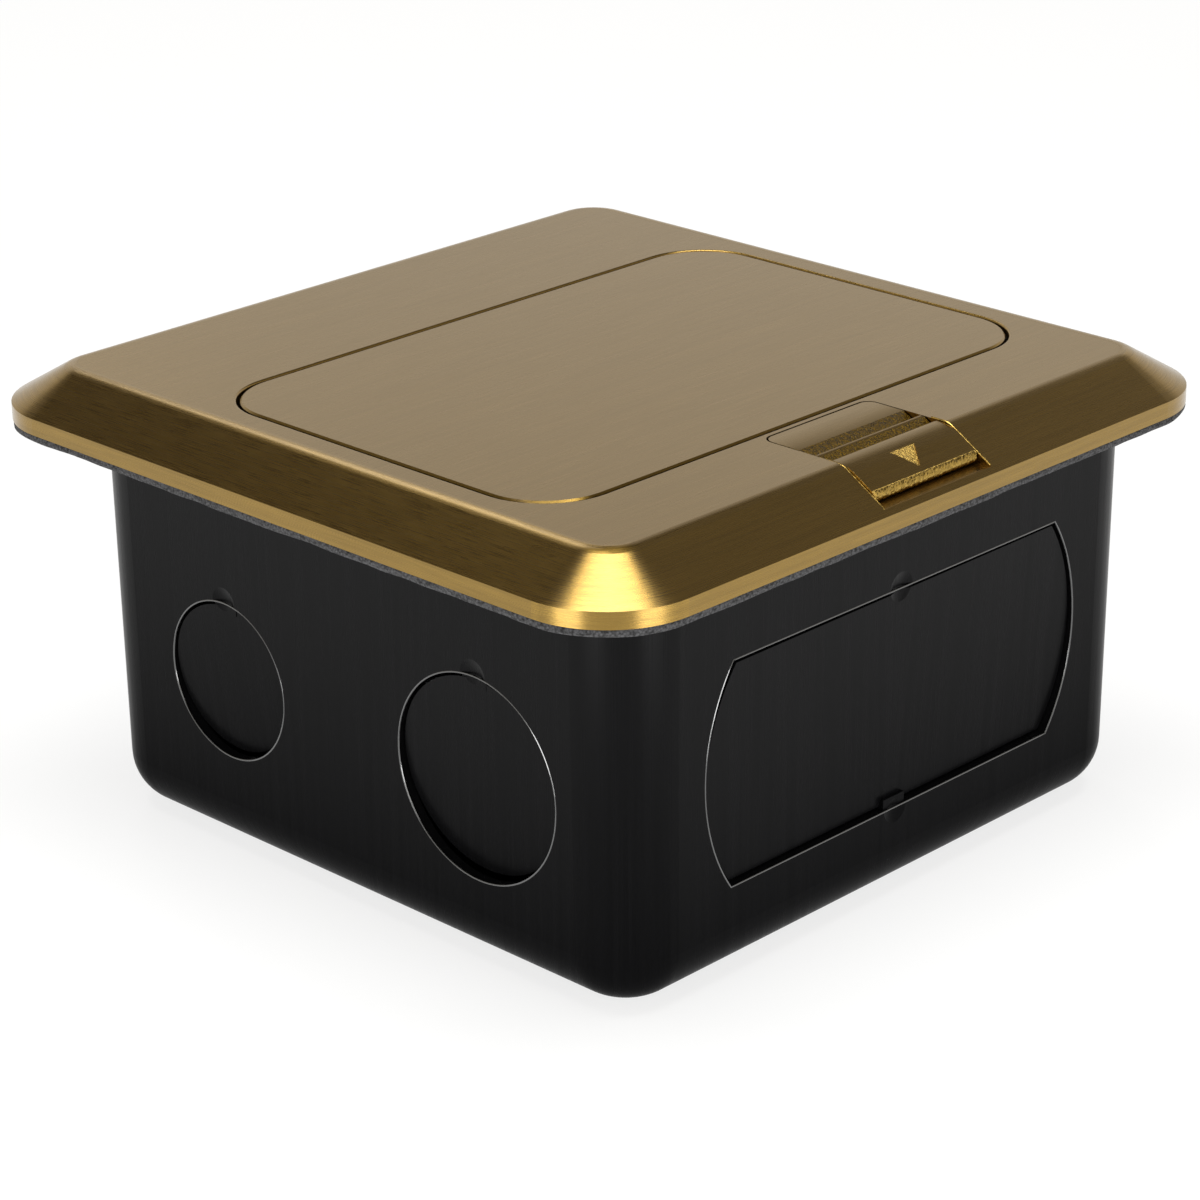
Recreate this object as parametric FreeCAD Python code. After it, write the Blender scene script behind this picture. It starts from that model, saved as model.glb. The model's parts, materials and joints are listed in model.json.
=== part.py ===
import FreeCAD, Part
import math
import os

# Pop-up floor socket box: a brass cover plate with a hinged lid, flush with the floor,
# over a deep-drawn steel back box. The lid carries a cradle with two power outlets.
# Millimetres. +X right, +Y towards the hinge, -Y towards the latch, +Z up.
# The origin is at the base of the box, under the middle of the cover plate.

# ---------------------------------------------------------------- driving dimensions
# Cover plate
PLATE_SIDE = 120.0
PLATE_CORNER_R = 13.0
RIM_BAND = 2.3
BEVEL_WIDTH = 8.0
BEVEL_DROP = 4.75
BREAK_R = 3.0
PLATE_WALL = 2.0
GASKET_T = 1.0

# Back box
BOX_SIDE = 102.0
BOX_DEPTH = 55.6
BOX_WALL = 1.5
BOX_CORNER_R = 9.5
BOX_FOOT_R = 7.75
BOX_DRAFT_DEG = 0.5
BOX_SHIFT_Y = -2.5

# Lid, flush in its opening
LID_WIDTH = 94.5
LID_DEPTH = 62.2
LID_FRONT_Y = -37.0
LID_CORNER_R = 9.5
LID_T = 2.0
LID_EDGE_CHAMFER = 0.25
OPEN_EDGE_R = 0.3
SEAM = 0.5

# Hinge under the lid
HINGE_INSET = 13.0
HINGE_DROP = 5.0
OPEN_DEG = 48.0
PIN_R = 1.5
LUG_T = 2.0
SPRING_ROOM = 4.0

# Cradle that carries the outlets
CRADLE_HALF = 33.0
SHEET_T = 1.2
FACE_H = 36.1
CRADLE_DEPTH = 21.0

# Inner frame under the cover plate
FRAME_T = 2.0
FRAME_DROP = 3.0
LEDGE_DROP = 1.05
SEAL_T = 0.75
SEAL_W = 1.9

# Slide latch
SLIDE_WIDTH = 20.4
SLIDE_BACK_Y = -38.7
SLIDE_END_Y = -57.2
SLIDE_CORNER_R = 1.6
SLIDE_TRAVEL = 2.6
SLIDE_PROUD = 0.25
SLIDE_BREAK_R = 7.0
POCKET_FLOOR = 2.85
POCKET_END_Y = -59.6
TRAY_T = 2.0
TRAY_WALL = 2.0
STEM_R = 2.0
STEM_X = 5.5
STEM_Y = -44.5
TONGUE_T = 1.5
TONGUE_HALF = 9.0

# Saw-tooth finger grooves across the slide: start, end and depth
GROOVES = ((-44.7, -47.5, 1.5), (-48.2, -50.3, 1.3))
GROOVE_STEEP = 0.25

# Knockouts
SMALL_KO_R = 11.2
SMALL_KO_Y = 20.3
SMALL_KO_DROP = 30.7
LARGE_KO_R = 14.1
LARGE_KO_Y = -27.1
LARGE_KO_DROP = 30.1
WIDE_KO_HALF = 31.9
WIDE_KO_BULGE = 4.9
WIDE_KO_HEIGHT = 31.0
WIDE_KO_DROP = 27.7
SHEAR_GAP = 0.5
# How deep each slug's top, bottom and left-hand edges lie in the wall
SMALL_KO_PUSH = (0.2, 1.8, 0.4)
LARGE_KO_PUSH = (0.2, 2.15, 0.75)
WIDE_KO_PUSH = (0.05, 0.95, 0.4)
BRIDGE_W = 4.2
DIMPLE_R = 2.2
DIMPLE_DEPTH = 0.4

# Running and seam clearances
RUN_CLEAR = 0.05
SLIDE_CLEAR = 0.15
SIDE_CLEAR = 0.2
SEAT_CLEAR = 0.3
THREAD_CLEAR = 0.02

# ---------------------------------------------------------------- derived sizes
Z_RIM = BOX_DEPTH + GASKET_T
Z_TOP = Z_RIM + RIM_BAND + BEVEL_DROP
Z_UNDER = Z_TOP - PLATE_WALL
PLATE_HALF = PLATE_SIDE / 2
BOX_HALF = BOX_SIDE / 2
BOX_INNER = BOX_HALF - BOX_WALL
BOX_DRAFT = BOX_DEPTH * math.tan(math.radians(BOX_DRAFT_DEG))
LID_HALF = LID_WIDTH / 2
LID_BACK_Y = LID_FRONT_Y + LID_DEPTH
OPEN_HALF = LID_HALF + SEAM
OPEN_FRONT_Y = LID_FRONT_Y - SEAM
OPEN_BACK_Y = LID_BACK_Y + SEAM
OPEN_CORNER_R = LID_CORNER_R + SEAM
HINGE_Y = LID_BACK_Y - HINGE_INSET
HINGE_Z = Z_TOP - HINGE_DROP
LID_UNDER = Z_TOP - LID_T

# The cradle's face is a chord of the circle that the lid's front edge runs on
FACE_R = math.hypot(HINGE_Y - LID_FRONT_Y, HINGE_DROP) - SLIDE_CLEAR
FACE_TOP_Z = HINGE_DROP - LID_T
FACE_TOP_Y = -math.sqrt(FACE_R ** 2 - FACE_TOP_Z ** 2)
FACE_LOW_ANGLE = 2 * math.asin(FACE_H / 2 / FACE_R) - math.asin(FACE_TOP_Z / FACE_R)
FACE_LOW_Y = -FACE_R * math.cos(FACE_LOW_ANGLE)
FACE_LOW_Z = -FACE_R * math.sin(FACE_LOW_ANGLE)
FACE_LEAN = math.atan2(FACE_LOW_Y - FACE_TOP_Y, FACE_TOP_Z - FACE_LOW_Z)
FACE_LEAN_DEG = math.degrees(FACE_LEAN)

FRAME_TOP = Z_UNDER - FRAME_DROP
FRAME_BOT = FRAME_TOP - FRAME_T
LEDGE_TOP = LID_UNDER - LEDGE_DROP
LUG_INNER_X = CRADLE_HALF + SPRING_ROOM
LEDGE_INNER = LUG_INNER_X + LUG_T
LEDGE_BACK_Y = HINGE_Y - 3.2

POCKET_Z = Z_RIM + POCKET_FLOOR
TRAY_BOT = POCKET_Z - TRAY_T
POCKET_HALF = SLIDE_WIDTH / 2 + SIDE_CLEAR
POCKET_BACK_Y = SLIDE_BACK_Y + SEAT_CLEAR
TONGUE_TOP = TRAY_BOT - SLIDE_CLEAR
TONGUE_BOT = TONGUE_TOP - TONGUE_T

X_AXIS = FreeCAD.Vector(1, 0, 0)
Y_AXIS = FreeCAD.Vector(0, 1, 0)
Z_AXIS = FreeCAD.Vector(0, 0, 1)


def vec(x, y, z):
    return FreeCAD.Vector(x, y, z)


# ---------------------------------------------------------------- shape helpers
def block(x0, x1, y0, y1, z0, z1):
    return Part.makeBox(x1 - x0, y1 - y0, z1 - z0, vec(x0, y0, z0))


def wide_block(half, y0, y1, z0, z1):
    return block(-half, half, y0, y1, z0, z1)


def rod(radius, start, end):
    run = end - start
    return Part.makeCylinder(radius, run.Length, start, run)


def rounded_wire(x0, x1, y0, y1, r, z):
    """Rectangle with four equal arcs at its corners."""
    k = r * (1 - math.sqrt(0.5))
    lines = (
        (vec(x0 + r, y0, z), vec(x1 - r, y0, z)),
        (vec(x1, y0 + r, z), vec(x1, y1 - r, z)),
        (vec(x1 - r, y1, z), vec(x0 + r, y1, z)),
        (vec(x0, y1 - r, z), vec(x0, y0 + r, z)),
    )
    middles = (
        vec(x1 - k, y0 + k, z),
        vec(x1 - k, y1 - k, z),
        vec(x0 + k, y1 - k, z),
        vec(x0 + k, y0 + k, z),
    )
    edges = []
    for i in range(4):
        start, end = lines[i]
        edges.append(Part.LineSegment(start, end).toShape())
        edges.append(Part.Arc(end, middles[i], lines[(i + 1) % 4][0]).toShape())
    return Part.Wire(edges)


def rounded_prism(x0, x1, y0, y1, r, z0, z1):
    return Part.Face(rounded_wire(x0, x1, y0, y1, r, z0)).extrude(vec(0, 0, z1 - z0))


def side_prism(points, x0, x1):
    """Polygon in the YZ plane, extruded along X."""
    corners = [vec(x0, y, z) for y, z in points]
    return Part.Face(Part.makePolygon(corners + corners[:1])).extrude(vec(x1 - x0, 0, 0))


def fuse_all(first, others):
    return first.multiFuse(list(others)).removeSplitter()


def cut_all(first, others):
    shape = first
    for other in others:
        shape = shape.cut(other)
    return shape


def mirrored_x(shape):
    return shape.mirror(vec(0, 0, 0), X_AXIS)


def pair(shape):
    return Part.makeCompound([shape, mirrored_x(shape)])


def save(name, shape):
    solids = shape.Solids
    result = solids[0] if len(solids) == 1 else Part.makeCompound(solids)
    assert solids, name + " has no solid"
    assert all(s.isValid() for s in solids), name + " isn't valid"
    result.exportStep("parts/" + name + ".step")
    print(name, len(solids), round(sum(s.Volume for s in solids), 1))


# ---------------------------------------------------------------- screws
def pan_screw(head_r, head_h, shank_r, length):
    """Screw along -Z with its head's seat at the origin and a cross recess."""
    head = Part.makeCylinder(head_r, head_h)
    head = head.makeChamfer(head_h * 0.35, [e for e in head.Edges if on_level(e, head_h)])
    shank = Part.makeCylinder(shank_r, length, vec(0, 0, -length))
    return cut_all(head.fuse(shank), cross_recess(head_r * 0.62, head_h))


def flat_screw(head_r, head_h, shank_r, length):
    """Countersunk screw along -Z with its head's top at the origin."""
    head = Part.makeCone(shank_r, head_r, head_h, vec(0, 0, -head_h))
    shank = Part.makeCylinder(shank_r, length, vec(0, 0, -length))
    return cut_all(head.fuse(shank), cross_recess(head_r * 0.55, 0))


def cross_recess(reach, top):
    half = reach * 0.2
    depth = reach * 0.5
    first = block(-reach, reach, -half, half, top - depth, top + 1)
    second = block(-half, half, -reach, reach, top - depth, top + 1)
    return (first, second)


def on_level(edge, z):
    return all(abs(v.Z - z) < 1e-6 for v in edge.Vertexes)


def placed(shape, place, rotation=None):
    turn = rotation if rotation else FreeCAD.Rotation()
    result = shape.copy()
    result.Placement = FreeCAD.Placement(place, turn)
    return result


def screws_at(screw, points, rotation=None):
    return Part.makeCompound([placed(screw, p, rotation) for p in points])


UPWARD = FreeCAD.Rotation(X_AXIS, 180)


# ---------------------------------------------------------------- back box
def box_shell_solid(inset, foot_z):
    """Drawn tub: a rounded square that narrows downwards, with a rounded foot."""
    top = BOX_HALF - inset
    low = top - BOX_DRAFT
    r_top = BOX_CORNER_R - inset
    r_low = r_top - BOX_DRAFT
    y = BOX_SHIFT_Y
    wires = [
        rounded_wire(-low, low, y - low, y + low, r_low, foot_z),
        rounded_wire(-top, top, y - top, y + top, r_top, BOX_DEPTH),
    ]
    tub = Part.makeLoft(wires, True, True)
    return tub.makeFillet(BOX_FOOT_R - inset, [e for e in tub.Edges if on_level(e, foot_z)])


def wall_frame(angle_deg, along, z):
    """Frame on a box wall: local X along the wall, Y up it, Z out of it."""
    out = BOX_HALF - (BOX_DEPTH - z) * math.tan(math.radians(BOX_DRAFT_DEG))
    turn = FreeCAD.Rotation(Z_AXIS, angle_deg)
    lean = FreeCAD.Rotation(X_AXIS, 90 + BOX_DRAFT_DEG)
    start = turn.multVec(vec(along, -out, 0)) + vec(0, BOX_SHIFT_Y, z)
    return FreeCAD.Placement(start, turn.multiply(lean))


def round_outline(radius, shrink):
    return Part.Wire(Part.makeCircle(radius - shrink))


def wide_outline(shrink):
    """Flat top and bottom, with shallow arcs for ends that meet them at corners."""
    x = WIDE_KO_HALF - shrink
    y = WIDE_KO_HEIGHT / 2 - shrink
    bulge = x + WIDE_KO_BULGE
    return Part.Wire([
        Part.LineSegment(vec(-x, -y, 0), vec(x, -y, 0)).toShape(),
        Part.Arc(vec(x, -y, 0), vec(bulge, 0, 0), vec(x, y, 0)).toShape(),
        Part.LineSegment(vec(x, y, 0), vec(-x, y, 0)).toShape(),
        Part.Arc(vec(-x, y, 0), vec(-bulge, 0, 0), vec(-x, -y, 0)).toShape(),
    ])


def knockout(outline, half_width, half_height, pushes, bridge_ends):
    """The hole to cut and the slug to add, both in a wall's own frame."""
    push_top, push_low, push_side = pushes
    push_middle = (push_top + push_low) / 2
    reach = BOX_WALL * 2
    hole = Part.Face(outline(0)).extrude(vec(0, 0, -reach))
    hole.translate(vec(0, 0, BOX_WALL / 2))
    slug = Part.Face(outline(SHEAR_GAP)).extrude(vec(0, 0, -BOX_WALL))
    lean = math.degrees(math.atan2(push_low - push_top, 2 * half_height))
    swing = math.degrees(math.atan2(push_middle - push_side, half_width))
    slug.rotate(vec(0, 0, 0), Y_AXIS, swing)
    slug.rotate(vec(0, 0, 0), X_AXIS, lean)
    slug.translate(vec(0, 0, -push_middle))
    pieces = [slug]
    dimples = []
    punch_r = (DIMPLE_R ** 2 + DIMPLE_DEPTH ** 2) / (2 * DIMPLE_DEPTH)
    for end in bridge_ends:
        push = push_top if end > 0 else push_low
        y = end * half_height
        tab_low = -push - BOX_WALL * 0.6
        tab = block(-BRIDGE_W / 2, BRIDGE_W / 2, y - 1.5, y + 1.5, tab_low, -BOX_WALL * 0.2)
        pieces.append(tab)
        dimples.append(Part.makeSphere(punch_r, vec(0, y, punch_r - DIMPLE_DEPTH)))
    return hole, pieces, dimples


def box_knockouts():
    small = knockout(
        lambda s: round_outline(SMALL_KO_R, s), SMALL_KO_R, SMALL_KO_R, SMALL_KO_PUSH, (1,))
    large = knockout(
        lambda s: round_outline(LARGE_KO_R, s), LARGE_KO_R, LARGE_KO_R, LARGE_KO_PUSH, (1,))
    wide = knockout(
        wide_outline, WIDE_KO_HALF + WIDE_KO_BULGE, WIDE_KO_HEIGHT / 2, WIDE_KO_PUSH, (1, -1))
    z_small = Z_RIM - SMALL_KO_DROP
    z_large = Z_RIM - LARGE_KO_DROP
    z_wide = Z_RIM - WIDE_KO_DROP
    shift = BOX_SHIFT_Y
    return (
        (wall_frame(0, 0, z_wide), wide),
        (wall_frame(180, 0, z_wide), wide),
        (wall_frame(-90, shift - SMALL_KO_Y, z_small), small),
        (wall_frame(-90, shift - LARGE_KO_Y, z_large), large),
        (wall_frame(90, SMALL_KO_Y - shift, z_small), small),
        (wall_frame(90, LARGE_KO_Y - shift, z_large), large),
    )


GROUND_PAD_R = 7.5
GROUND_PAD_H = 2.6
GROUND_PAD_Y = 30.0
GROUND_AT = vec(0, GROUND_PAD_Y, 0)
GROUND_SCREW_R = 2.4
GROUND_SHANK = 3.6
GROUND_HEX_R = 4.6
GROUND_HEX_H = 2.6
GROUND_SLOT_W = 1.2
GROUND_SLOT_D = 1.1
WASHER_R = 5.2
WASHER_T = 0.8
BASE_HOLE_R = 2.4
BASE_HOLE_SPAN = 60.0


def back_box():
    shell = box_shell_solid(0, 0).cut(box_shell_solid(BOX_WALL, BOX_WALL))
    pad = Part.makeCylinder(GROUND_PAD_R + BOX_WALL, GROUND_PAD_H + BOX_WALL, GROUND_AT)
    dish = Part.makeCylinder(GROUND_PAD_R, GROUND_PAD_H, GROUND_AT)
    tap = Part.makeCylinder(GROUND_SCREW_R + THREAD_CLEAR, 2 * (GROUND_PAD_H + BOX_WALL), GROUND_AT)
    shell = cut_all(shell.fuse(pad), (dish, tap))
    half = BASE_HOLE_SPAN / 2
    for x in (-half, half):
        for y in (-half, half):
            place = vec(x, y + BOX_SHIFT_Y, -1)
            shell = shell.cut(Part.makeCylinder(BASE_HOLE_R, BOX_WALL + 2, place))
    slugs = []
    dimples = []
    for frame, (hole, pieces, marks) in box_knockouts():
        shell = shell.cut(in_frame(hole, frame))
        slugs += [in_frame(p, frame) for p in pieces]
        dimples += [in_frame(m, frame) for m in marks]
    return cut_all(shell.multiFuse(slugs), dimples)


def in_frame(shape, frame):
    result = shape.copy()
    result.Placement = frame.multiply(result.Placement)
    return result


def ground_screw():
    seat = GROUND_AT + vec(0, 0, GROUND_PAD_H + BOX_WALL)
    corners = []
    for degrees in range(0, 361, 60):
        turn = math.radians(degrees)
        corners.append(vec(GROUND_HEX_R * math.cos(turn), GROUND_HEX_R * math.sin(turn), 0))
    head = Part.Face(Part.makePolygon(corners)).extrude(vec(0, 0, GROUND_HEX_H))
    washer = Part.makeCylinder(WASHER_R, WASHER_T)
    shank = Part.makeCylinder(GROUND_SCREW_R, GROUND_SHANK, vec(0, 0, -GROUND_SHANK))
    slot = block(-WASHER_R, WASHER_R, -GROUND_SLOT_W / 2, GROUND_SLOT_W / 2,
                 GROUND_HEX_H - GROUND_SLOT_D, GROUND_HEX_H + GROUND_SLOT_D)
    return placed(head.fuse([washer, shank]).cut(slot), seat)


# ---------------------------------------------------------------- ears of the back box
EAR_YS = (-34.5, -6.0)
EAR_HALF_W = 4.5
EAR_T = 2.0
EAR_DROP = 2.5
EAR_FLANGE_H = 9.0
COVER_SCREW_R = 1.75
COVER_HEAD_R = 3.1
COVER_HEAD_H = 1.7
COVER_SCREW_X = LEDGE_INNER + COVER_HEAD_R + 2 * RUN_CLEAR
EAR_TOP = BOX_DEPTH - EAR_DROP + GASKET_T


def box_ear(y):
    """Angle bracket spot-welded inside the right wall, tapped for a cover screw."""
    wall = BOX_INNER - 0.02
    low_wall = wall - (BOX_DEPTH - EAR_TOP + EAR_FLANGE_H) * math.tan(math.radians(BOX_DRAFT_DEG))
    flange = block(low_wall - EAR_T, low_wall, y - EAR_HALF_W, y + EAR_HALF_W,
                   EAR_TOP - EAR_FLANGE_H, EAR_TOP)
    tab = block(LEDGE_INNER + SIDE_CLEAR, low_wall, y - EAR_HALF_W, y + EAR_HALF_W,
                EAR_TOP - EAR_T, EAR_TOP)
    hole = Part.makeCylinder(COVER_SCREW_R + THREAD_CLEAR, 2 * EAR_FLANGE_H,
                             vec(COVER_SCREW_X, y, EAR_TOP - EAR_FLANGE_H))
    ear = flange.fuse(tab).removeSplitter()
    corner = [e for e in ear.Edges
              if abs(e.Length - 2 * EAR_HALF_W) < 1e-6
              and all(abs(v.X - (low_wall - EAR_T)) < 1e-6 for v in e.Vertexes)
              and all(abs(v.Z - (EAR_TOP - EAR_T)) < 1e-6 for v in e.Vertexes)]
    return ear.makeFillet(EAR_T * 0.6, corner).cut(hole)


def cover_screws():
    points = []
    for y in EAR_YS:
        points.append(vec(COVER_SCREW_X, y, LEDGE_TOP))
        points.append(vec(-COVER_SCREW_X, y, LEDGE_TOP))
    length = LEDGE_TOP - EAR_TOP + EAR_T + 2.5
    return screws_at(flat_screw(COVER_HEAD_R, COVER_HEAD_H, COVER_SCREW_R, length), points)


# ---------------------------------------------------------------- cover plate and gasket
def plate_skin():
    """Outside of the cover plate, before anything is cut into it."""
    half = PLATE_HALF
    flat = half - BEVEL_WIDTH
    z_band = Z_RIM + RIM_BAND
    band = rounded_prism(-half, half, -half, half, PLATE_CORNER_R, Z_RIM, z_band)
    bevel = Part.makeLoft([
        rounded_wire(-half, half, -half, half, PLATE_CORNER_R, z_band),
        rounded_wire(-flat, flat, -flat, flat, PLATE_CORNER_R - BEVEL_WIDTH, Z_TOP),
    ], True, True)
    skin = bevel.makeFillet(BREAK_R, [e for e in bevel.Edges if on_level(e, Z_TOP)])
    return band.fuse(skin)


def throat(inset, z0, z1):
    """Rounded square in line with the inside of the box's mouth."""
    half = BOX_INNER - inset
    y = BOX_SHIFT_Y
    r = BOX_CORNER_R - BOX_WALL - inset
    return rounded_prism(-half, half, y - half, y + half, r, z0, z1)


def lid_opening(z0, z1):
    return rounded_prism(-OPEN_HALF, OPEN_HALF, OPEN_FRONT_Y, OPEN_BACK_Y,
                         OPEN_CORNER_R, z0, z1)


FRAME_SCREW_FRONT = (32.0, -45.0)
FRAME_SCREW_REAR = (38.0, 37.0)
FRAME_SCREW_R = 1.5
FRAME_BOSS_R = 3.5
BOSS_DEPTH = FRAME_DROP + 0.8


def frame_screw_points():
    points = []
    for x, y in (FRAME_SCREW_FRONT, FRAME_SCREW_REAR):
        points.append((x, y))
        points.append((-x, y))
    return points


LUG_BACK_Y = -46.2
LUG_FRONT_Y = -47.4
SPRING_LUG_HALF = 1.6
LATCH_SPRING_R = 1.35
LATCH_WIRE_R = 0.25
WINDOW_HALF = 2.2
WINDOW_BACK_Y = -40.0
LUG_DROP = 1.2
CUT = 1.0


def cover_plate():
    plate = plate_skin().cut(throat(0, Z_RIM - 1, Z_UNDER))
    tray = wide_block(POCKET_HALF + TRAY_WALL, BOX_SHIFT_Y - BOX_INNER - CUT, OPEN_FRONT_Y + CUT,
                      TRAY_BOT, Z_UNDER + PLATE_WALL / 2)
    lug = wide_block(SPRING_LUG_HALF, LUG_FRONT_Y, LUG_BACK_Y, TONGUE_BOT - LUG_DROP,
                     TRAY_BOT + TRAY_T / 2)
    bosses = [Part.makeCylinder(FRAME_BOSS_R, FRAME_DROP + PLATE_WALL / 2, vec(x, y, FRAME_TOP))
              for x, y in frame_screw_points()]
    plate = plate.multiFuse([tray, lug] + bosses)
    undercut = side_prism([
        (OPEN_BACK_Y - CUT, Z_UNDER - CUT),
        (OPEN_BACK_Y + PLATE_WALL / 2 + CUT, Z_UNDER - CUT),
        (OPEN_BACK_Y - CUT, Z_UNDER + PLATE_WALL / 2 + CUT),
    ], -OPEN_HALF + OPEN_CORNER_R, OPEN_HALF - OPEN_CORNER_R)
    cuts = [lid_opening(Z_RIM - 5, Z_TOP + 1), undercut, latch_pocket()]
    for x in (-STEM_X, STEM_X):
        cuts.append(stem_slot(x))
    for x, y in frame_screw_points():
        place = vec(x, y, FRAME_TOP - 1)
        cuts.append(Part.makeCylinder(FRAME_SCREW_R + THREAD_CLEAR, BOSS_DEPTH + 1, place))
    plate = cut_all(plate, cuts)
    return plate.makeFillet(OPEN_EDGE_R, [e for e in plate.Edges if on_opening_edge(e)])


def on_opening_edge(edge):
    return on_level(edge, Z_TOP) and all(
        abs(v.X) < OPEN_HALF + CUT and OPEN_FRONT_Y - CUT / 2 < v.Y < OPEN_BACK_Y + CUT
        for v in edge.Vertexes)


def latch_pocket():
    """Straight-walled pocket from the flat out through the bevel, rounded at the back."""
    full = rounded_prism(-POCKET_HALF, POCKET_HALF, POCKET_END_Y - 5, POCKET_BACK_Y,
                         SLIDE_CORNER_R + SIDE_CLEAR, POCKET_Z, Z_TOP + 1)
    return full.common(wide_block(POCKET_HALF, POCKET_END_Y, POCKET_BACK_Y, POCKET_Z, Z_TOP + 1))


def stem_slot(x):
    half = STEM_R + SIDE_CLEAR
    return rounded_prism(x - half, x + half, STEM_Y - half - SLIDE_TRAVEL, STEM_Y + half,
                         half * 0.999, TRAY_BOT - 1, POCKET_Z + 1)


def cover_gasket():
    half = PLATE_HALF
    sheet = rounded_prism(-half, half, -half, half, PLATE_CORNER_R, BOX_DEPTH, Z_RIM)
    return sheet.cut(throat(0, BOX_DEPTH - 1, Z_RIM + 1))


# ---------------------------------------------------------------- inner frame
RIB_T = 1.0
LUG_DROP_BACK = 7.5
LUG_REACH = 4.6
LUG_CHIN = 2.4
LUG_NOSE = 8.2
LEG_PEG_R = 0.8
LEG_PEG_Y = 3.6
LEG_PEG_Z = -6.0
EYE_R = HINGE_DROP - LID_T - SEAT_CLEAR
SINK_CLEAR = 0.15
FRAME_HEAD_R = 2.8
FRAME_HEAD_H = 1.9


def inner_frame():
    frame = throat(SEAT_CLEAR, FRAME_BOT, FRAME_TOP)
    rib = throat(SEAT_CLEAR, FRAME_TOP, Z_UNDER).cut(throat(SEAT_CLEAR + RIB_T, FRAME_TOP, Z_UNDER))
    ledge = block(LEDGE_INNER, OPEN_HALF, OPEN_FRONT_Y, LEDGE_BACK_Y, FRAME_TOP, LEDGE_TOP)
    frame = frame.multiFuse([rib, ledge, mirrored_x(ledge)])
    low = FRAME_BOT - CUT
    tray_half = POCKET_HALF + TRAY_WALL + SEAT_CLEAR
    cuts = [
        wide_block(LEDGE_INNER, OPEN_FRONT_Y, LEDGE_BACK_Y + CUT, low, Z_TOP),
        wide_block(OPEN_HALF + SEAT_CLEAR, LEDGE_BACK_Y, OPEN_BACK_Y + CUT, low, Z_TOP),
        wide_block(tray_half, -PLATE_HALF, OPEN_FRONT_Y + CUT, low, Z_TOP),
    ]
    for x, y in frame_screw_points():
        cuts.append(Part.makeCylinder(FRAME_SCREW_R + SIDE_CLEAR, FRAME_T + 2 * CUT, vec(x, y, low)))
    for x in (-COVER_SCREW_X, COVER_SCREW_X):
        for y in EAR_YS:
            cuts.append(Part.makeCylinder(COVER_SCREW_R + SIDE_CLEAR, LEDGE_TOP - low + CUT,
                                          vec(x, y, low)))
            sink = COVER_HEAD_H + RUN_CLEAR
            cuts.append(Part.makeCone(COVER_SCREW_R + SINK_CLEAR, COVER_HEAD_R + SINK_CLEAR, sink,
                                      vec(x, y, LEDGE_TOP - sink)))
    frame = cut_all(frame, cuts)
    lug = hinge_lug()
    return frame.multiFuse([lug, mirrored_x(lug)])


def hinge_lug():
    """Eye for the hinge pin, hanging plate and the peg that holds a spring's leg."""
    y0 = HINGE_Y
    z0 = HINGE_Z
    plate = side_prism([
        (y0 - LUG_NOSE, LEDGE_TOP), (y0 - LUG_NOSE, FRAME_BOT), (y0 - EYE_R, z0 - LUG_DROP_BACK),
        (y0 + LUG_REACH, z0 - LUG_DROP_BACK), (y0 + LUG_REACH, z0 - LUG_CHIN), (y0, z0),
        (y0, LEDGE_TOP),
    ], LUG_INNER_X, LEDGE_INNER)
    foot = block(LUG_INNER_X, LEDGE_INNER + LUG_T, y0 - LUG_NOSE, LEDGE_BACK_Y, FRAME_BOT, LEDGE_TOP)
    eye = rod(EYE_R, vec(LUG_INNER_X, y0, z0), vec(LEDGE_INNER, y0, z0))
    peg = rod(LEG_PEG_R, vec(CRADLE_HALF + 2 * SEAT_CLEAR, y0 + LEG_PEG_Y, z0 + LEG_PEG_Z),
              vec(LEDGE_INNER, y0 + LEG_PEG_Y, z0 + LEG_PEG_Z))
    bore = rod(PIN_R + THREAD_CLEAR, vec(LUG_INNER_X - CUT, y0, z0),
               vec(LEDGE_INNER + LUG_T + CUT, y0, z0))
    return fuse_all(plate, [foot, eye, peg]).cut(bore)


def frame_screws():
    points = [vec(x, y, FRAME_BOT) for x, y in frame_screw_points()]
    screw = pan_screw(FRAME_HEAD_R, FRAME_HEAD_H, FRAME_SCREW_R, FRAME_T + FRAME_DROP)
    return screws_at(screw, points, UPWARD)


SEAL_FRONT_GAP = 6.0


def lid_seal():
    outer = OPEN_HALF - SEAT_CLEAR
    strip = block(outer - SEAL_W, outer, OPEN_FRONT_Y + SEAL_FRONT_GAP, LEDGE_BACK_Y - SEAM,
                  LEDGE_TOP, LEDGE_TOP + SEAL_T)
    return pair(strip)


# ---------------------------------------------------------------- hinge pin and springs
PIN_HEAD_R = 2.4
PIN_HEAD_T = 1.0
PIN_END = 0.6
CLIP_T = 0.6
CLIP_R = 2.6
CLIP_GROOVE = 0.3
CLIP_MOUTH = 0.9
SPRING_WIRE_R = 0.35
SPRING_COIL_R = 2.3
SPRING_PITCH = 0.8
SPRING_TURNS = 2.25
SPRING_LEG_DOWN = 7.0
SPRING_LEG_FRONT = 13.0
WIRE_SIDES = 8


def on_pin(radius, x0, x1):
    return rod(radius, vec(x0, HINGE_Y, HINGE_Z), vec(x1, HINGE_Y, HINGE_Z))


def hinge_pin():
    left = -LEDGE_INNER - 2 * RUN_CLEAR
    clip = LEDGE_INNER + SIDE_CLEAR
    groove = (clip - RUN_CLEAR, clip + CLIP_T + RUN_CLEAR)
    pin = on_pin(PIN_R, left, clip + CLIP_T + PIN_END)
    head = on_pin(PIN_HEAD_R, left - PIN_HEAD_T, left)
    ring = on_pin(CLIP_R, *groove).cut(on_pin(PIN_R - CLIP_GROOVE, *groove))
    return pin.fuse(head).cut(ring)


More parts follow.
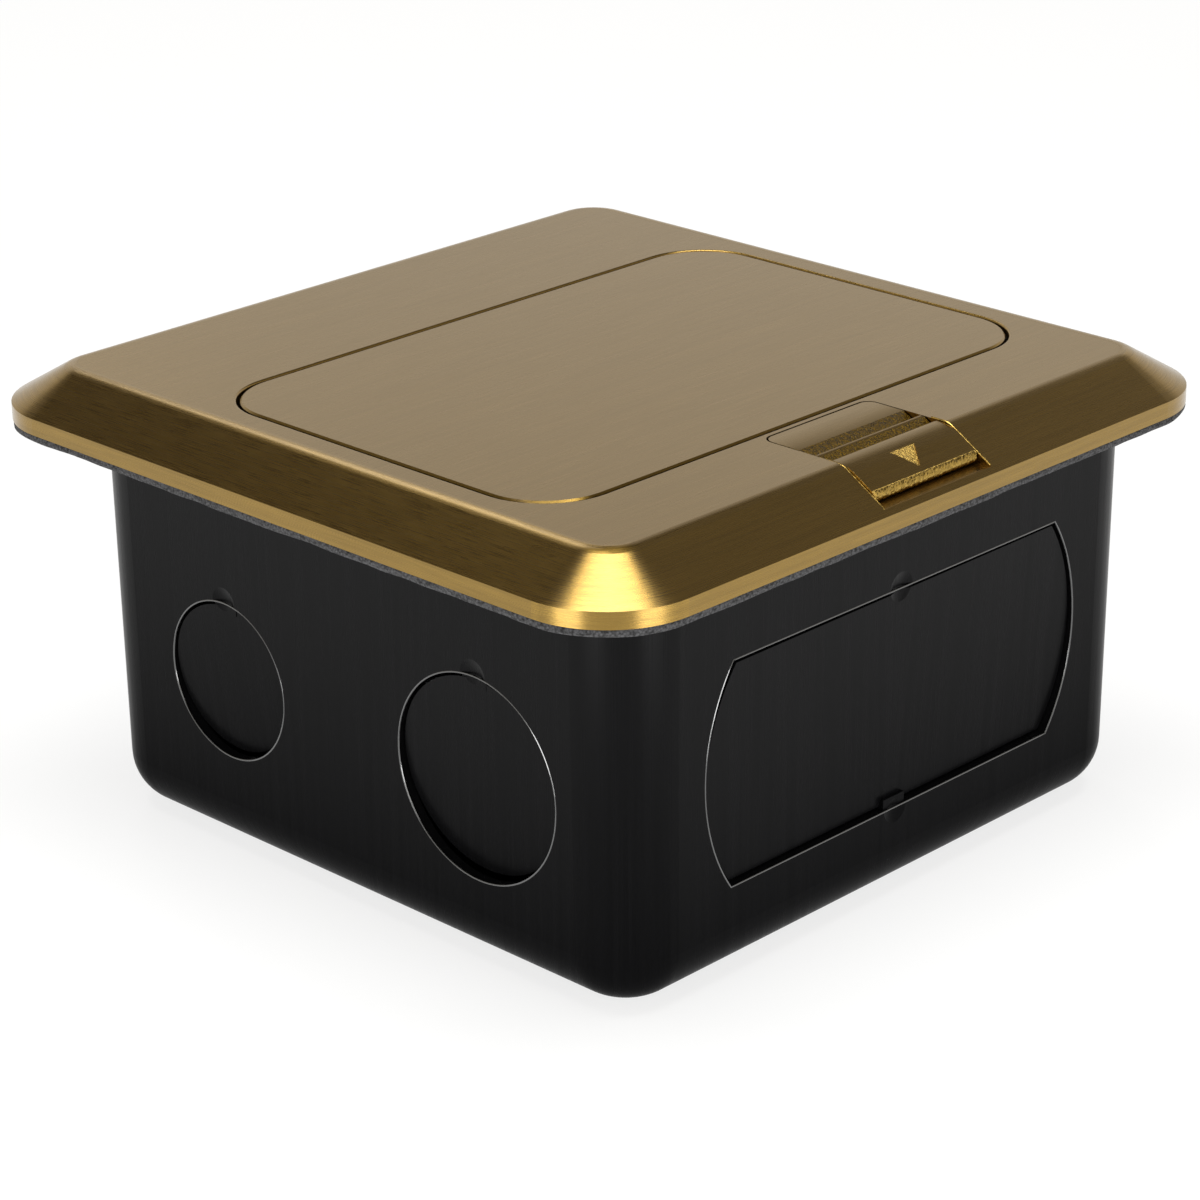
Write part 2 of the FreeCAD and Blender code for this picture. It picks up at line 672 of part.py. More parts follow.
def hinge_clip():
    x0 = LEDGE_INNER + SIDE_CLEAR
    x1 = x0 + CLIP_T
    ring = on_pin(CLIP_R, x0, x1).cut(on_pin(PIN_R - CLIP_GROOVE + THREAD_CLEAR, x0, x1))
    mouth = block(x0 - CUT, x1 + CUT, HINGE_Y - CLIP_MOUTH, HINGE_Y + CLIP_MOUTH,
                  HINGE_Z - 2 * CLIP_R, HINGE_Z)
    return ring.cut(mouth)


def wire_section(radius, centre, along):
    """Flat-sided section of a spring's wire, square to its path."""
    turn = FreeCAD.Rotation(Z_AXIS, along)
    corners = []
    for i in range(WIRE_SIDES + 1):
        angle = 2 * math.pi * (i % WIRE_SIDES) / WIRE_SIDES
        spot = vec(radius * math.cos(angle), radius * math.sin(angle), 0)
        corners.append(centre + turn.multVec(spot))
    return Part.makePolygon(corners)


def popup_spring():
    """Torsion spring on the pin: one leg down to the frame's peg, one forward under the lid."""
    height = SPRING_PITCH * SPRING_TURNS
    coil = Part.makeHelix(SPRING_PITCH, height, SPRING_COIL_R)
    slope = SPRING_PITCH / (2 * math.pi)
    size = math.hypot(SPRING_COIL_R, slope)
    rise = slope / size
    run = SPRING_COIL_R / size
    start = vec(SPRING_COIL_R, 0, 0)
    end = vec(0, SPRING_COIL_R, height)
    foot = start - vec(0, run, rise) * SPRING_LEG_DOWN
    leg_down = Part.LineSegment(foot, start).toShape()
    leg_front = Part.LineSegment(end, end + vec(-run, 0, rise) * SPRING_LEG_FRONT).toShape()
    path = Part.Wire([leg_down] + coil.Edges + [leg_front])
    section = wire_section(SPRING_WIRE_R, foot, vec(0, run, rise))
    spring = path.makePipeShell([section], True, True)
    turn = FreeCAD.Rotation(vec(1, 1, 1), 120)
    start_x = CRADLE_HALF + SIDE_CLEAR + SPRING_WIRE_R + rise * SPRING_LEG_DOWN
    return in_frame(spring, FreeCAD.Placement(vec(start_x, HINGE_Y, HINGE_Z), turn))


# ---------------------------------------------------------------- cradle
# Across the outlet face U runs along X, V up the face and W out of it
def face_frame():
    """Frame of the outlet face: local X across, Y up the face, Z out of it."""
    lean = FreeCAD.Rotation(X_AXIS, 90 + FACE_LEAN_DEG)
    return FreeCAD.Placement(vec(0, HINGE_Y + FACE_LOW_Y, HINGE_Z + FACE_LOW_Z), lean)


def face_point(v, w):
    spot = face_frame().multVec(vec(0, v, w))
    return (spot.y, spot.z)


BODY_GAP = 0.1
BODY_SIDE_GAP = 1.3
BODY_DEPTH = CRADLE_DEPTH - 0.5
BODY_LOW = 1.9
BODY_TOP = (FACE_TOP_Z - SHEET_T - FACE_LOW_Z - BODY_DEPTH * math.sin(FACE_LEAN)) \
    / math.cos(FACE_LEAN) - RUN_CLEAR
BODY_HALF = CRADLE_HALF - SHEET_T - BODY_SIDE_GAP
FACE_WINDOW_HALF = BODY_HALF - 1.0
FACE_WINDOW_LOW = 2.0
FACE_WINDOW_TOP = BODY_TOP - 0.6
STRIKE_HALF = 7.0
STRIKE_H = 3.4
LIP_D = 3.3
SOCKET_SCREW_X = FACE_WINDOW_HALF - 7.5
SOCKET_SCREW_R = 1.25
SOCKET_SCREW_V = FACE_H - 5.4
SOCKET_HEAD_R = 2.4
SOCKET_HEAD_H = 1.2
SOCKET_SHANK = 4.4
LID_SCREW_R = 1.25
LID_BOSS_R = 2.2
LID_HEAD_R = 2.9
LID_HEAD_H = 1.6
LID_SCREW_SKIN = 0.8
LID_SCREW_X = CRADLE_HALF - 6.0
LID_SCREW_FRONT = 9.2
LID_SCREW_YS = (HINGE_Y + FACE_TOP_Y + LID_SCREW_FRONT, HINGE_Y + 6.5)
TOP_WINDOW_SIDE = 7.0
TOP_WINDOW_FRONT = 12.2
TOP_WINDOW_BACK = 6.0
TOP_WINDOW_R = 4.0
CHEEK_LOW = 9.0
CHEEK_BACK = 7.0
CHEEK_HEEL = (3.0, -4.0)
CHEEK_TAIL = (6.0, -1.0)
STOP_R0 = 33.0
STOP_W = 5.0
STOP_T = 1.6
STOP_REACH = LUG_T + SPRING_ROOM + 2.0
STOP_HEEL = 4.0
FLANGE_BACK = 11.0


def strike_v():
    """Height up the face of the latch tongue's middle."""
    middle = (TONGUE_TOP + TONGUE_BOT) / 2 - HINGE_Z - FACE_LOW_Z
    return middle / math.cos(FACE_LEAN)


def cradle():
    y0 = HINGE_Y
    z0 = HINGE_Z
    outline = [
        (y0 + FACE_TOP_Y, LID_UNDER), face_point(0, 0), face_point(0, -CRADLE_DEPTH),
        (y0 - CHEEK_BACK, z0 - CHEEK_LOW), (y0 + CHEEK_HEEL[0], z0 + CHEEK_HEEL[1]),
        (y0 + CHEEK_TAIL[0], z0 + CHEEK_TAIL[1]),
        (y0 + FLANGE_BACK, LID_UNDER - SHEET_T), (y0 + FLANGE_BACK, LID_UNDER),
    ]
    body = side_prism(outline, -CRADLE_HALF, CRADLE_HALF)
    body = body.makeFillet(SHEET_T * 0.8, [e for e in body.Edges if is_side_bend(e)])
    inside = CRADLE_HALF - SHEET_T
    sheet = LID_UNDER - SHEET_T
    far = 2 * CRADLE_HALF
    hollow = side_prism([
        (y0 + FACE_TOP_Y - CUT, sheet), (y0 - far, z0 - far), (y0 + far, z0 - far), (y0 + far, sheet),
    ], -inside, inside)
    front = in_frame(block(-CRADLE_HALF, CRADLE_HALF, 0, FACE_H, -SHEET_T, 0), face_frame())
    front = front.common(body)
    lip = block(-FACE_WINDOW_HALF, FACE_WINDOW_HALF, 0, SHEET_T, -SHEET_T - LIP_D, -SHEET_T / 2)
    shell = fuse_all(body.cut(hollow), [front, in_frame(lip, face_frame())])
    strike = strike_v()
    windows = [
        block(-FACE_WINDOW_HALF, FACE_WINDOW_HALF, FACE_WINDOW_LOW, FACE_WINDOW_TOP,
              -2 * SHEET_T, SHEET_T),
        block(-STRIKE_HALF, STRIKE_HALF, strike - STRIKE_H / 2, strike + STRIKE_H / 2,
              -2 * SHEET_T, SHEET_T),
    ]
    for x in (-SOCKET_SCREW_X, SOCKET_SCREW_X):
        windows.append(Part.makeCylinder(SOCKET_SCREW_R + SINK_CLEAR, 3 * SHEET_T,
                                         vec(x, SOCKET_SCREW_V, -2 * SHEET_T)))
    cuts = [in_frame(w, face_frame()) for w in windows]
    cuts.append(rounded_prism(TOP_WINDOW_SIDE - LID_SCREW_X, LID_SCREW_X - TOP_WINDOW_SIDE,
                              y0 + FACE_TOP_Y + TOP_WINDOW_FRONT, y0 - TOP_WINDOW_BACK,
                              TOP_WINDOW_R, sheet - SHEET_T, LID_UNDER + CUT))
    for x, y in lid_screw_points():
        cuts.append(Part.makeCylinder(LID_BOSS_R + BODY_GAP, 3 * SHEET_T, vec(x, y, sheet - SHEET_T)))
    cuts.append(rod(PIN_R + RUN_CLEAR, vec(-LEDGE_INNER, y0, z0), vec(LEDGE_INNER, y0, z0)))
    tab = stop_tab()
    shell = shell.multiFuse([tab, mirrored_x(tab)])
    return cut_all(shell, cuts)


def is_side_bend(edge):
    """Long edge where a cheek is bent down from the top sheet."""
    on_cheek = all(abs(abs(v.X) - CRADLE_HALF) < 1e-6 for v in edge.Vertexes)
    return on_cheek and on_level(edge, LID_UNDER)


def stop_tab():
    """Tab bent out of a cheek. It meets the ledge's underside when the lid is up."""
    top = FRAME_BOT - 2 * RUN_CLEAR
    y1 = HINGE_Y - STOP_R0
    y0 = y1 - STOP_W
    inside = CRADLE_HALF - SHEET_T
    tab = block(inside, CRADLE_HALF + STOP_REACH, y0, y1, top - STOP_T, top)
    heel = block(inside, CRADLE_HALF, y0 - STOP_HEEL / 4, y1 + STOP_HEEL, top - STOP_T, top + STOP_HEEL)
    tab = tab.fuse(heel)
    tab.rotate(vec(0, HINGE_Y, HINGE_Z), X_AXIS, OPEN_DEG)
    return tab


def lid_screw_points():
    points = []
    for y in LID_SCREW_YS:
        points.append((LID_SCREW_X, y))
        points.append((-LID_SCREW_X, y))
    return points


# ---------------------------------------------------------------- lid
def lid():
    cap = rounded_prism(-LID_HALF, LID_HALF, LID_FRONT_Y, LID_BACK_Y, LID_CORNER_R,
                        LID_UNDER, Z_TOP)
    cap = cap.makeChamfer(LID_EDGE_CHAMFER, [e for e in cap.Edges if on_level(e, Z_TOP)])
    low = LID_UNDER - SHEET_T + RUN_CLEAR
    bosses = []
    holes = []
    for x, y in lid_screw_points():
        bosses.append(Part.makeCylinder(LID_BOSS_R, LID_UNDER - low + LID_T / 2, vec(x, y, low)))
        holes.append(Part.makeCylinder(LID_SCREW_R + THREAD_CLEAR, Z_TOP - LID_SCREW_SKIN - low + CUT,
                                       vec(x, y, low - CUT)))
    return cut_all(cap.multiFuse(bosses), holes)


def lid_screws():
    points = [vec(x, y, LID_UNDER - SHEET_T) for x, y in lid_screw_points()]
    length = SHEET_T + LID_T - LID_SCREW_SKIN - SIDE_CLEAR
    screw = pan_screw(LID_HEAD_R, LID_HEAD_H, LID_SCREW_R, length)
    return screws_at(screw, points, UPWARD)


# ---------------------------------------------------------------- outlets
FACE_PROUD = 0.6
OUTLET_PROUD = 0.4
FACE_FLANGE_T = 2.0
FACE_EDGE = 0.3
FACE_CORNER_R = 1.5
FACE_HALF = FACE_WINDOW_HALF - FACE_EDGE
FACE_MIDDLE_V = (FACE_WINDOW_LOW + FACE_WINDOW_TOP) / 2
OUTLET_X = FACE_HALF / 2 + 0.6
OUTLET_R = FACE_HALF - OUTLET_X - 0.5
OUTLET_HALF_H = (FACE_WINDOW_TOP - FACE_WINDOW_LOW) / 2 - 1.0
BLADE_V = FACE_MIDDLE_V + 2.8
BLADE_SPLIT = 6.35
GROUND_V = BLADE_V - 11.9
GROUND_HOLE_R = 2.7
SLOT_W = 2.0
HOT_SLOT_H = 7.0
NEUTRAL_SLOT_H = 8.6
SLOT_DEPTH = 9.0
EAR_W = 8.0
EAR_OVER_SCREW = 2.5
BODY_CORNER_R = 1.0
BODY_FRONT = -SHEET_T - FACE_FLANGE_T - BODY_GAP
BODY_BACK = -BODY_DEPTH
BUS_T = 0.8
BUS_BACK = -15.0
CLIP_GAP = 0.85
CLIP_FRONT = -6.0
LEAF_OVER = 3.0
STRIP_H = 3.0
HOT_STRIP_RISE = 5.6
NEUTRAL_STRIP_DROP = 7.6
BUS_OUT = 4.2
TAIL_W = 3.0
FOOT_V = 1.0
FOOT_FRONT = 4.0
FOOT_HALF = 4.0
GROUND_LEAF_HALF = 2.2
GROUND_TAIL_HALF = 3.5
TERMINAL_X = BODY_HALF - 8.5
TERMINAL_W = -12.0
TERMINAL_R = 1.6
TERMINAL_HEAD_R = 3.0
TERMINAL_HEAD_H = 1.7
TERMINAL_SHANK = 3.4
TERMINAL_BORE = 4.6
POCKET_GAP = 0.3


def slot_centres(side):
    """X of the two hot (side 1) or neutral (side -1) slots."""
    return (-OUTLET_X + side * BLADE_SPLIT, OUTLET_X + side * BLADE_SPLIT)


def socket_face():
    low = FACE_WINDOW_LOW + FACE_EDGE
    top = FACE_WINDOW_TOP - FACE_EDGE
    back = -SHEET_T - RUN_CLEAR
    flange_back = back - FACE_FLANGE_T
    panel = rounded_prism(-FACE_HALF, FACE_HALF, low, top, FACE_CORNER_R,
                          back - FACE_FLANGE_T / 2, FACE_PROUD)
    flange = block(-BODY_HALF, BODY_HALF, SHEET_T + SIDE_CLEAR, BODY_TOP, flange_back, back)
    pieces = [panel]
    for x in (-SOCKET_SCREW_X, SOCKET_SCREW_X):
        pieces.append(block(x - EAR_W / 2, x + EAR_W / 2, BODY_TOP - CUT,
                            SOCKET_SCREW_V + EAR_OVER_SCREW, flange_back, back))
    for x in (-OUTLET_X, OUTLET_X):
        disc = Part.makeCylinder(OUTLET_R, 2 * OUTLET_PROUD, vec(x, FACE_MIDDLE_V, FACE_PROUD - OUTLET_PROUD))
        band = block(x - 2 * OUTLET_R, x + 2 * OUTLET_R, FACE_MIDDLE_V - OUTLET_HALF_H,
                     FACE_MIDDLE_V + OUTLET_HALF_H, 0, 2 * FACE_PROUD)
        pieces.append(disc.common(band))
    face = fuse_all(flange, pieces)
    cuts = []
    for side, height in ((1, HOT_SLOT_H), (-1, NEUTRAL_SLOT_H)):
        for x in slot_centres(side):
            cuts.append(block(x - SLOT_W / 2, x + SLOT_W / 2, BLADE_V - height / 2,
                              BLADE_V + height / 2, -SLOT_DEPTH, SLOT_DEPTH))
    for x in (-OUTLET_X, OUTLET_X):
        cuts.append(Part.makeCylinder(GROUND_HOLE_R, 2 * SLOT_DEPTH, vec(x, GROUND_V, -SLOT_DEPTH)))
    for x in (-SOCKET_SCREW_X, SOCKET_SCREW_X):
        cuts.append(Part.makeCylinder(SOCKET_SCREW_R + THREAD_CLEAR, 2 * SOCKET_SHANK,
                                      vec(x, SOCKET_SCREW_V, -SOCKET_SHANK - CUT)))
    return in_frame(cut_all(face, cuts), face_frame())


def bus_solids(side):
    """Strip, four leaves and a terminal foot of the hot (1) or neutral (-1) line."""
    strip_low = BLADE_V + HOT_STRIP_RISE if side > 0 else BLADE_V - NEUTRAL_STRIP_DROP
    strip_top = strip_low + STRIP_H
    centres = slot_centres(side)
    x_out = BODY_HALF - BUS_OUT
    x_near = min(side * c for c in centres) - CLIP_GAP - BUS_T
    back = BUS_BACK
    front = back + BUS_T
    solids = [x_block(side, x_near, x_out, strip_low, strip_top, back, front)]
    leaf_low, leaf_top = (BLADE_V - LEAF_OVER, strip_top) if side > 0 else (strip_low, BLADE_V + LEAF_OVER)
    for centre in centres:
        for edge in (-1, 1):
            a = centre + edge * CLIP_GAP
            b = centre + edge * (CLIP_GAP + BUS_T)
            solids.append(block(min(a, b), max(a, b), leaf_low, leaf_top, back, CLIP_FRONT))
    solids.append(x_block(side, x_out - TAIL_W, x_out, FOOT_V, strip_top, back, front))
    solids.append(x_block(side, TERMINAL_X - FOOT_HALF, x_out, FOOT_V, FOOT_V + BUS_T,
                          back, TERMINAL_W + FOOT_FRONT))
    return solids


def x_block(side, x0, x1, v0, v1, w0, w1):
    low, high = sorted((side * x0, side * x1))
    return block(low, high, v0, v1, w0, w1)


def ground_solids():
    back = BUS_BACK
    front = back + BUS_T
    low = GROUND_V - GROUND_LEAF_HALF
    top = GROUND_V + GROUND_LEAF_HALF
    solids = [wide_block(OUTLET_X + GROUND_HOLE_R + BUS_T, low, top, back, front)]
    for x in (-OUTLET_X, OUTLET_X):
        for edge in (-1, 1):
            a = x + edge * (GROUND_HOLE_R - SIDE_CLEAR)
            b = a + edge * BUS_T
            solids.append(block(min(a, b), max(a, b), low, top, back, CLIP_FRONT))
    solids.append(wide_block(GROUND_TAIL_HALF, FOOT_V, GROUND_V, back, front))
    solids.append(wide_block(FOOT_HALF, FOOT_V, FOOT_V + BUS_T, back, TERMINAL_W + FOOT_FRONT))
    return solids


def bus(solids, terminal_x):
    whole = fuse_all(solids[0], solids[1:])
    hole = Part.makeCylinder(TERMINAL_R + BODY_GAP, FOOT_HALF, vec(terminal_x, -FOOT_V, TERMINAL_W),
                             Y_AXIS)
    return in_frame(whole.cut(hole), face_frame())


def grown(solid):
    """Pocket for one inner piece, open to the front of the body."""
    b = solid.BoundBox
    g = POCKET_GAP
    return block(b.XMin - g, b.XMax + g, b.YMin - g, b.YMax + g, b.ZMin - g, 0)


def socket_body():
    body = rounded_prism(-BODY_HALF, BODY_HALF, BODY_LOW, BODY_TOP, BODY_CORNER_R,
                         BODY_BACK, BODY_FRONT)
    pockets = []
    for solids in (bus_solids(1), bus_solids(-1), ground_solids()):
        pockets += [grown(s) for s in solids[:-1]]
    for x in (-TERMINAL_X, 0, TERMINAL_X):
        pockets.append(Part.makeCylinder(TERMINAL_R + THREAD_CLEAR, TERMINAL_BORE,
                                         vec(x, 0, TERMINAL_W), Y_AXIS))
    return in_frame(cut_all(body, pockets), face_frame())


def terminal_screw(x):
    screw = pan_screw(TERMINAL_HEAD_R, TERMINAL_HEAD_H, TERMINAL_R, TERMINAL_SHANK)
    turn = FreeCAD.Rotation(X_AXIS, 90)
    return in_frame(placed(screw, vec(x, FOOT_V, TERMINAL_W), turn), face_frame())


def socket_screws():
    screw = pan_screw(SOCKET_HEAD_R, SOCKET_HEAD_H, SOCKET_SCREW_R, SOCKET_SHANK)
    points = [vec(x, SOCKET_SCREW_V, 0) for x in (-SOCKET_SCREW_X, SOCKET_SCREW_X)]
    return in_frame(screws_at(screw, points), face_frame())


# ---------------------------------------------------------------- latch
LATCH_SCREW_R = 1.0
LATCH_HEAD_R = 1.9
LATCH_HEAD_H = 1.2
LATCH_GRIP = 3.0
STEM_ROOT = 0.5
NOSE_T = 0.6
NOSE_SLOPE = 0.9
NOSE_BASE = 3.0
NOSE_SIDE = 0.8
TONGUE_END = 1.2
LATCH_SPRING_TURNS = 5.5


def slide_skin():
    """Outside of the slide: flush with the flat, then a little proud of the bevel."""
    fall = BEVEL_DROP / BEVEL_WIDTH
    knee = PLATE_HALF - BEVEL_WIDTH + SLIDE_PROUD / math.sin(math.atan(fall))
    reach = CUT - SLIDE_END_Y
    skin = side_prism([
        (SLIDE_BACK_Y + CUT, Z_RIM), (SLIDE_BACK_Y + CUT, Z_TOP), (-knee, Z_TOP),
        (-reach, Z_TOP - (reach - knee) * fall), (-reach, Z_RIM),
    ], -SLIDE_WIDTH, SLIDE_WIDTH)
    return skin.makeFillet(SLIDE_BREAK_R, [
        e for e in skin.Edges if on_level(e, Z_TOP) and all(abs(v.Y + knee) < 1e-6 for v in e.Vertexes)])


def latch_slide():
    top = Z_TOP + CUT
    blank = rounded_prism(-SLIDE_WIDTH / 2, SLIDE_WIDTH / 2, SLIDE_END_Y - SLIDE_WIDTH, SLIDE_BACK_Y,
                          SLIDE_CORNER_R, POCKET_Z + SLIDE_CLEAR, top)
    blank = blank.cut(wide_block(SLIDE_WIDTH, SLIDE_END_Y - 2 * SLIDE_WIDTH, SLIDE_END_Y, Z_RIM, top))
    slide = slide_skin().common(blank)
    for start, end, depth in GROOVES:
        tooth = side_prism([
            (start, Z_TOP), (start, top), (end, top), (end, Z_TOP),
            (end + GROOVE_STEEP, Z_TOP - depth),
        ], -SLIDE_WIDTH, SLIDE_WIDTH)
        slide = slide.cut(tooth)
    stems = []
    holes = []
    for x in (-STEM_X, STEM_X):
        place = vec(x, STEM_Y, TONGUE_TOP)
        stems.append(Part.makeCylinder(STEM_R, POCKET_Z + STEM_ROOT - TONGUE_TOP, place))
        holes.append(Part.makeCylinder(LATCH_SCREW_R + THREAD_CLEAR, LATCH_GRIP + SEAM, place))
    return cut_all(slide.multiFuse(stems), holes)


def latch_tongue():
    """Plate under the tray. Its nose stops just short of the cradle's path."""
    sweep = math.hypot(HINGE_Y - LID_FRONT_Y, HINGE_DROP)
    rise = HINGE_Z - TONGUE_BOT
    nose_y = HINGE_Y - math.sqrt((sweep + SEAT_CLEAR) ** 2 - rise ** 2)
    outer_y = LUG_FRONT_Y - SEAT_CLEAR - TONGUE_END
    low = TONGUE_BOT - CUT
    plate = wide_block(TONGUE_HALF, outer_y, nose_y - NOSE_BASE + SEAM, TONGUE_BOT, TONGUE_TOP)
    nose = side_prism([
        (nose_y - NOSE_BASE, TONGUE_TOP), (nose_y, TONGUE_TOP), (nose_y, TONGUE_TOP - NOSE_T),
        (nose_y - NOSE_SLOPE, TONGUE_BOT), (nose_y - NOSE_BASE, TONGUE_BOT),
    ], NOSE_SIDE - STRIKE_HALF, STRIKE_HALF - NOSE_SIDE)
    window = wide_block(WINDOW_HALF, LUG_FRONT_Y - SEAT_CLEAR, WINDOW_BACK_Y, low, TONGUE_TOP + CUT)
    holes = [Part.makeCylinder(LATCH_SCREW_R + 2 * RUN_CLEAR, TONGUE_T + 2 * CUT, vec(x, STEM_Y, low))
             for x in (-STEM_X, STEM_X)]
    return cut_all(fuse_all(plate, [nose]), [window] + holes)


def latch_screws():
    points = [vec(x, STEM_Y, TONGUE_BOT) for x in (-STEM_X, STEM_X)]
    screw = pan_screw(LATCH_HEAD_R, LATCH_HEAD_H, LATCH_SCREW_R, TONGUE_T + LATCH_GRIP)
    return screws_at(screw, points, UPWARD)


def latch_spring():
    """Compression spring between the plate's lug and the tongue's window."""
    length = WINDOW_BACK_Y - LUG_BACK_Y - 2 * (LATCH_WIRE_R + RUN_CLEAR)
    coil = Part.makeHelix(length / LATCH_SPRING_TURNS, length, LATCH_SPRING_R)
    section = wire_section(LATCH_WIRE_R, vec(LATCH_SPRING_R, 0, 0), Y_AXIS)
    spring = Part.Wire(coil.Edges).makePipeShell([section], True, True)
    z = TRAY_BOT - SLIDE_CLEAR - 2 * RUN_CLEAR - LATCH_SPRING_R - LATCH_WIRE_R
    turn = FreeCAD.Rotation(X_AXIS, -90)
    return placed(spring, vec(0, LUG_BACK_Y + LATCH_WIRE_R + RUN_CLEAR, z), turn)


# ---------------------------------------------------------------- build
os.makedirs("parts", exist_ok=True)

save("back_box", back_box())
for number, name in enumerate(("front", "rear")):
    ear = box_ear(EAR_YS[number])
    save("box_ear_" + name + "_right", ear)
    save("box_ear_" + name + "_left", mirrored_x(ear))
save("ground_screw", ground_screw())
save("cover_gasket", cover_gasket())
save("cover_plate", cover_plate())
save("inner_frame", inner_frame())
save("frame_screws", frame_screws())
save("cover_screws", cover_screws())
save("lid_seal", lid_seal())
save("hinge_pin", hinge_pin())
save("hinge_clip", hinge_clip())
right_spring = popup_spring()
save("popup_spring_right", right_spring)
save("popup_spring_left", mirrored_x(right_spring))
save("cradle", cradle())
save("lid", lid())
save("lid_screws", lid_screws())
save("socket_face", socket_face())
save("socket_body", socket_body())
save("hot_bus", bus(bus_solids(1), TERMINAL_X))
save("neutral_bus", bus(bus_solids(-1), -TERMINAL_X))
save("ground_bus", bus(ground_solids(), 0))
save("hot_terminal_screw", terminal_screw(TERMINAL_X))
save("neutral_terminal_screw", terminal_screw(-TERMINAL_X))
save("ground_terminal_screw", terminal_screw(0))
save("socket_screws", socket_screws())
save("latch_slide", latch_slide())
save("latch_tongue", latch_tongue())
save("latch_screws", latch_screws())
save("latch_spring", latch_spring())
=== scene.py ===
import json
import math

import bmesh
import bpy
from mathutils import Matrix, Vector
from mathutils import noise as mnoise
from mathutils.bvhtree import BVHTree

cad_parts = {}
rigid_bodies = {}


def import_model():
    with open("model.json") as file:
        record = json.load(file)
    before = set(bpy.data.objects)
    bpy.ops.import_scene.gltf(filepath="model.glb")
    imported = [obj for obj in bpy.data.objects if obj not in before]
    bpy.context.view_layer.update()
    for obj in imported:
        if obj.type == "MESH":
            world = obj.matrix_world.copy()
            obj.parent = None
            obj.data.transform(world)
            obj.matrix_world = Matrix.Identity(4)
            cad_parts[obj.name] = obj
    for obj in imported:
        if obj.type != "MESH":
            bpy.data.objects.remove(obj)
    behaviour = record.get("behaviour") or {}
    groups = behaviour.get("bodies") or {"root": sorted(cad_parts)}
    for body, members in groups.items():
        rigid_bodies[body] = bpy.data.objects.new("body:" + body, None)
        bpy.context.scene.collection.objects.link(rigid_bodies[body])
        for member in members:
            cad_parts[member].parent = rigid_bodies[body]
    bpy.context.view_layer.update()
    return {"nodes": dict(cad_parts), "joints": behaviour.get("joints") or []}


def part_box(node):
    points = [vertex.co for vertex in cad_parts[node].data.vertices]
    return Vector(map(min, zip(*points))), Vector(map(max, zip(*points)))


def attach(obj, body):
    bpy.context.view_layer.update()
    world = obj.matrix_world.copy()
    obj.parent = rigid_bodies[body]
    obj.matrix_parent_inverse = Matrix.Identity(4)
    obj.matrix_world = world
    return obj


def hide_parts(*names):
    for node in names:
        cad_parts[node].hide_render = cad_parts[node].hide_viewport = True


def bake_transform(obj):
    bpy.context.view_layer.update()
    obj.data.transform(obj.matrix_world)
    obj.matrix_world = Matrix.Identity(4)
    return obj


bl_info = {
    "name": "Pop-up Floor Socket Box",
    "version": (1, 0, 0),
    "blender": (4, 5, 0),
    "location": "View3D > Sidebar > Floor box",
    "description": "Dresses the floor socket box: brushed brass, coated steel, springs, screws",
    "category": "Object",
}

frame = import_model()

MM = 0.001
PLATE_LOW, PLATE_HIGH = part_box("cover_plate")
SLIDE_LOW, SLIDE_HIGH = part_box("latch_slide")
GASKET_LOW, GASKET_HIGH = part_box("cover_gasket")
BOX_LOW, BOX_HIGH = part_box("back_box")
HINGE = Vector(next(j for j in frame["joints"] if j["name"] == "popup_hinge")["pos_m"])

# Plan of the cover plate, in metres: its corner arcs share their centres with the flat's
PLATE_HALF = PLATE_HIGH.x
PLATE_CORNER = 13.0 * MM
ARC_CENTRE = PLATE_HALF - PLATE_CORNER
# Back box: middle of its plan in Y, corner radius inside the gasket, lean of its walls
BOX_MIDDLE = (BOX_LOW.y + BOX_HIGH.y) / 2
BOX_CORNER = 8.0 * MM
DRAFT = math.radians(0.5)
# Gasket's outer edge from under to top: way out in mm and share of the height
GASKET_PROFILE = ((-0.6, 0.0), (-0.12, 0.0), (0.0, 0.22), (0.02, 0.5), (0.0, 0.78),
                  (-0.12, 1.0), (-0.6, 1.0))
# Slide: band in Y that holds the finger grooves, least slope of the end's normal
GROOVES = (-50.9 * MM, -44.5 * MM)
END_SLOPE = -0.56
# Round knockouts in mm: radius, place in Y, drop below the gasket
ROUND_KNOCKOUTS = ((11.2, 20.3, 30.7), (14.1, -27.1, 30.1))
# Wide knockouts in mm: half width, bulge of the ends, half height, drop below the gasket
WIDE_KNOCKOUT = (31.9, 4.9, 15.5, 27.7)


def length_prop(name, description, default, low=0.0, high=1.0):
    return bpy.props.FloatProperty(name=name, description=description, default=default,
                                   min=low, max=high, subtype="DISTANCE", unit="LENGTH",
                                   precision=5)


def share_prop(name, description, default, low=0.0, high=1.0):
    return bpy.props.FloatProperty(name=name, description=description, default=default,
                                   min=low, max=high, subtype="FACTOR")


def hex_prop(name, description, default):
    return bpy.props.StringProperty(name=name, description=description, default=default)


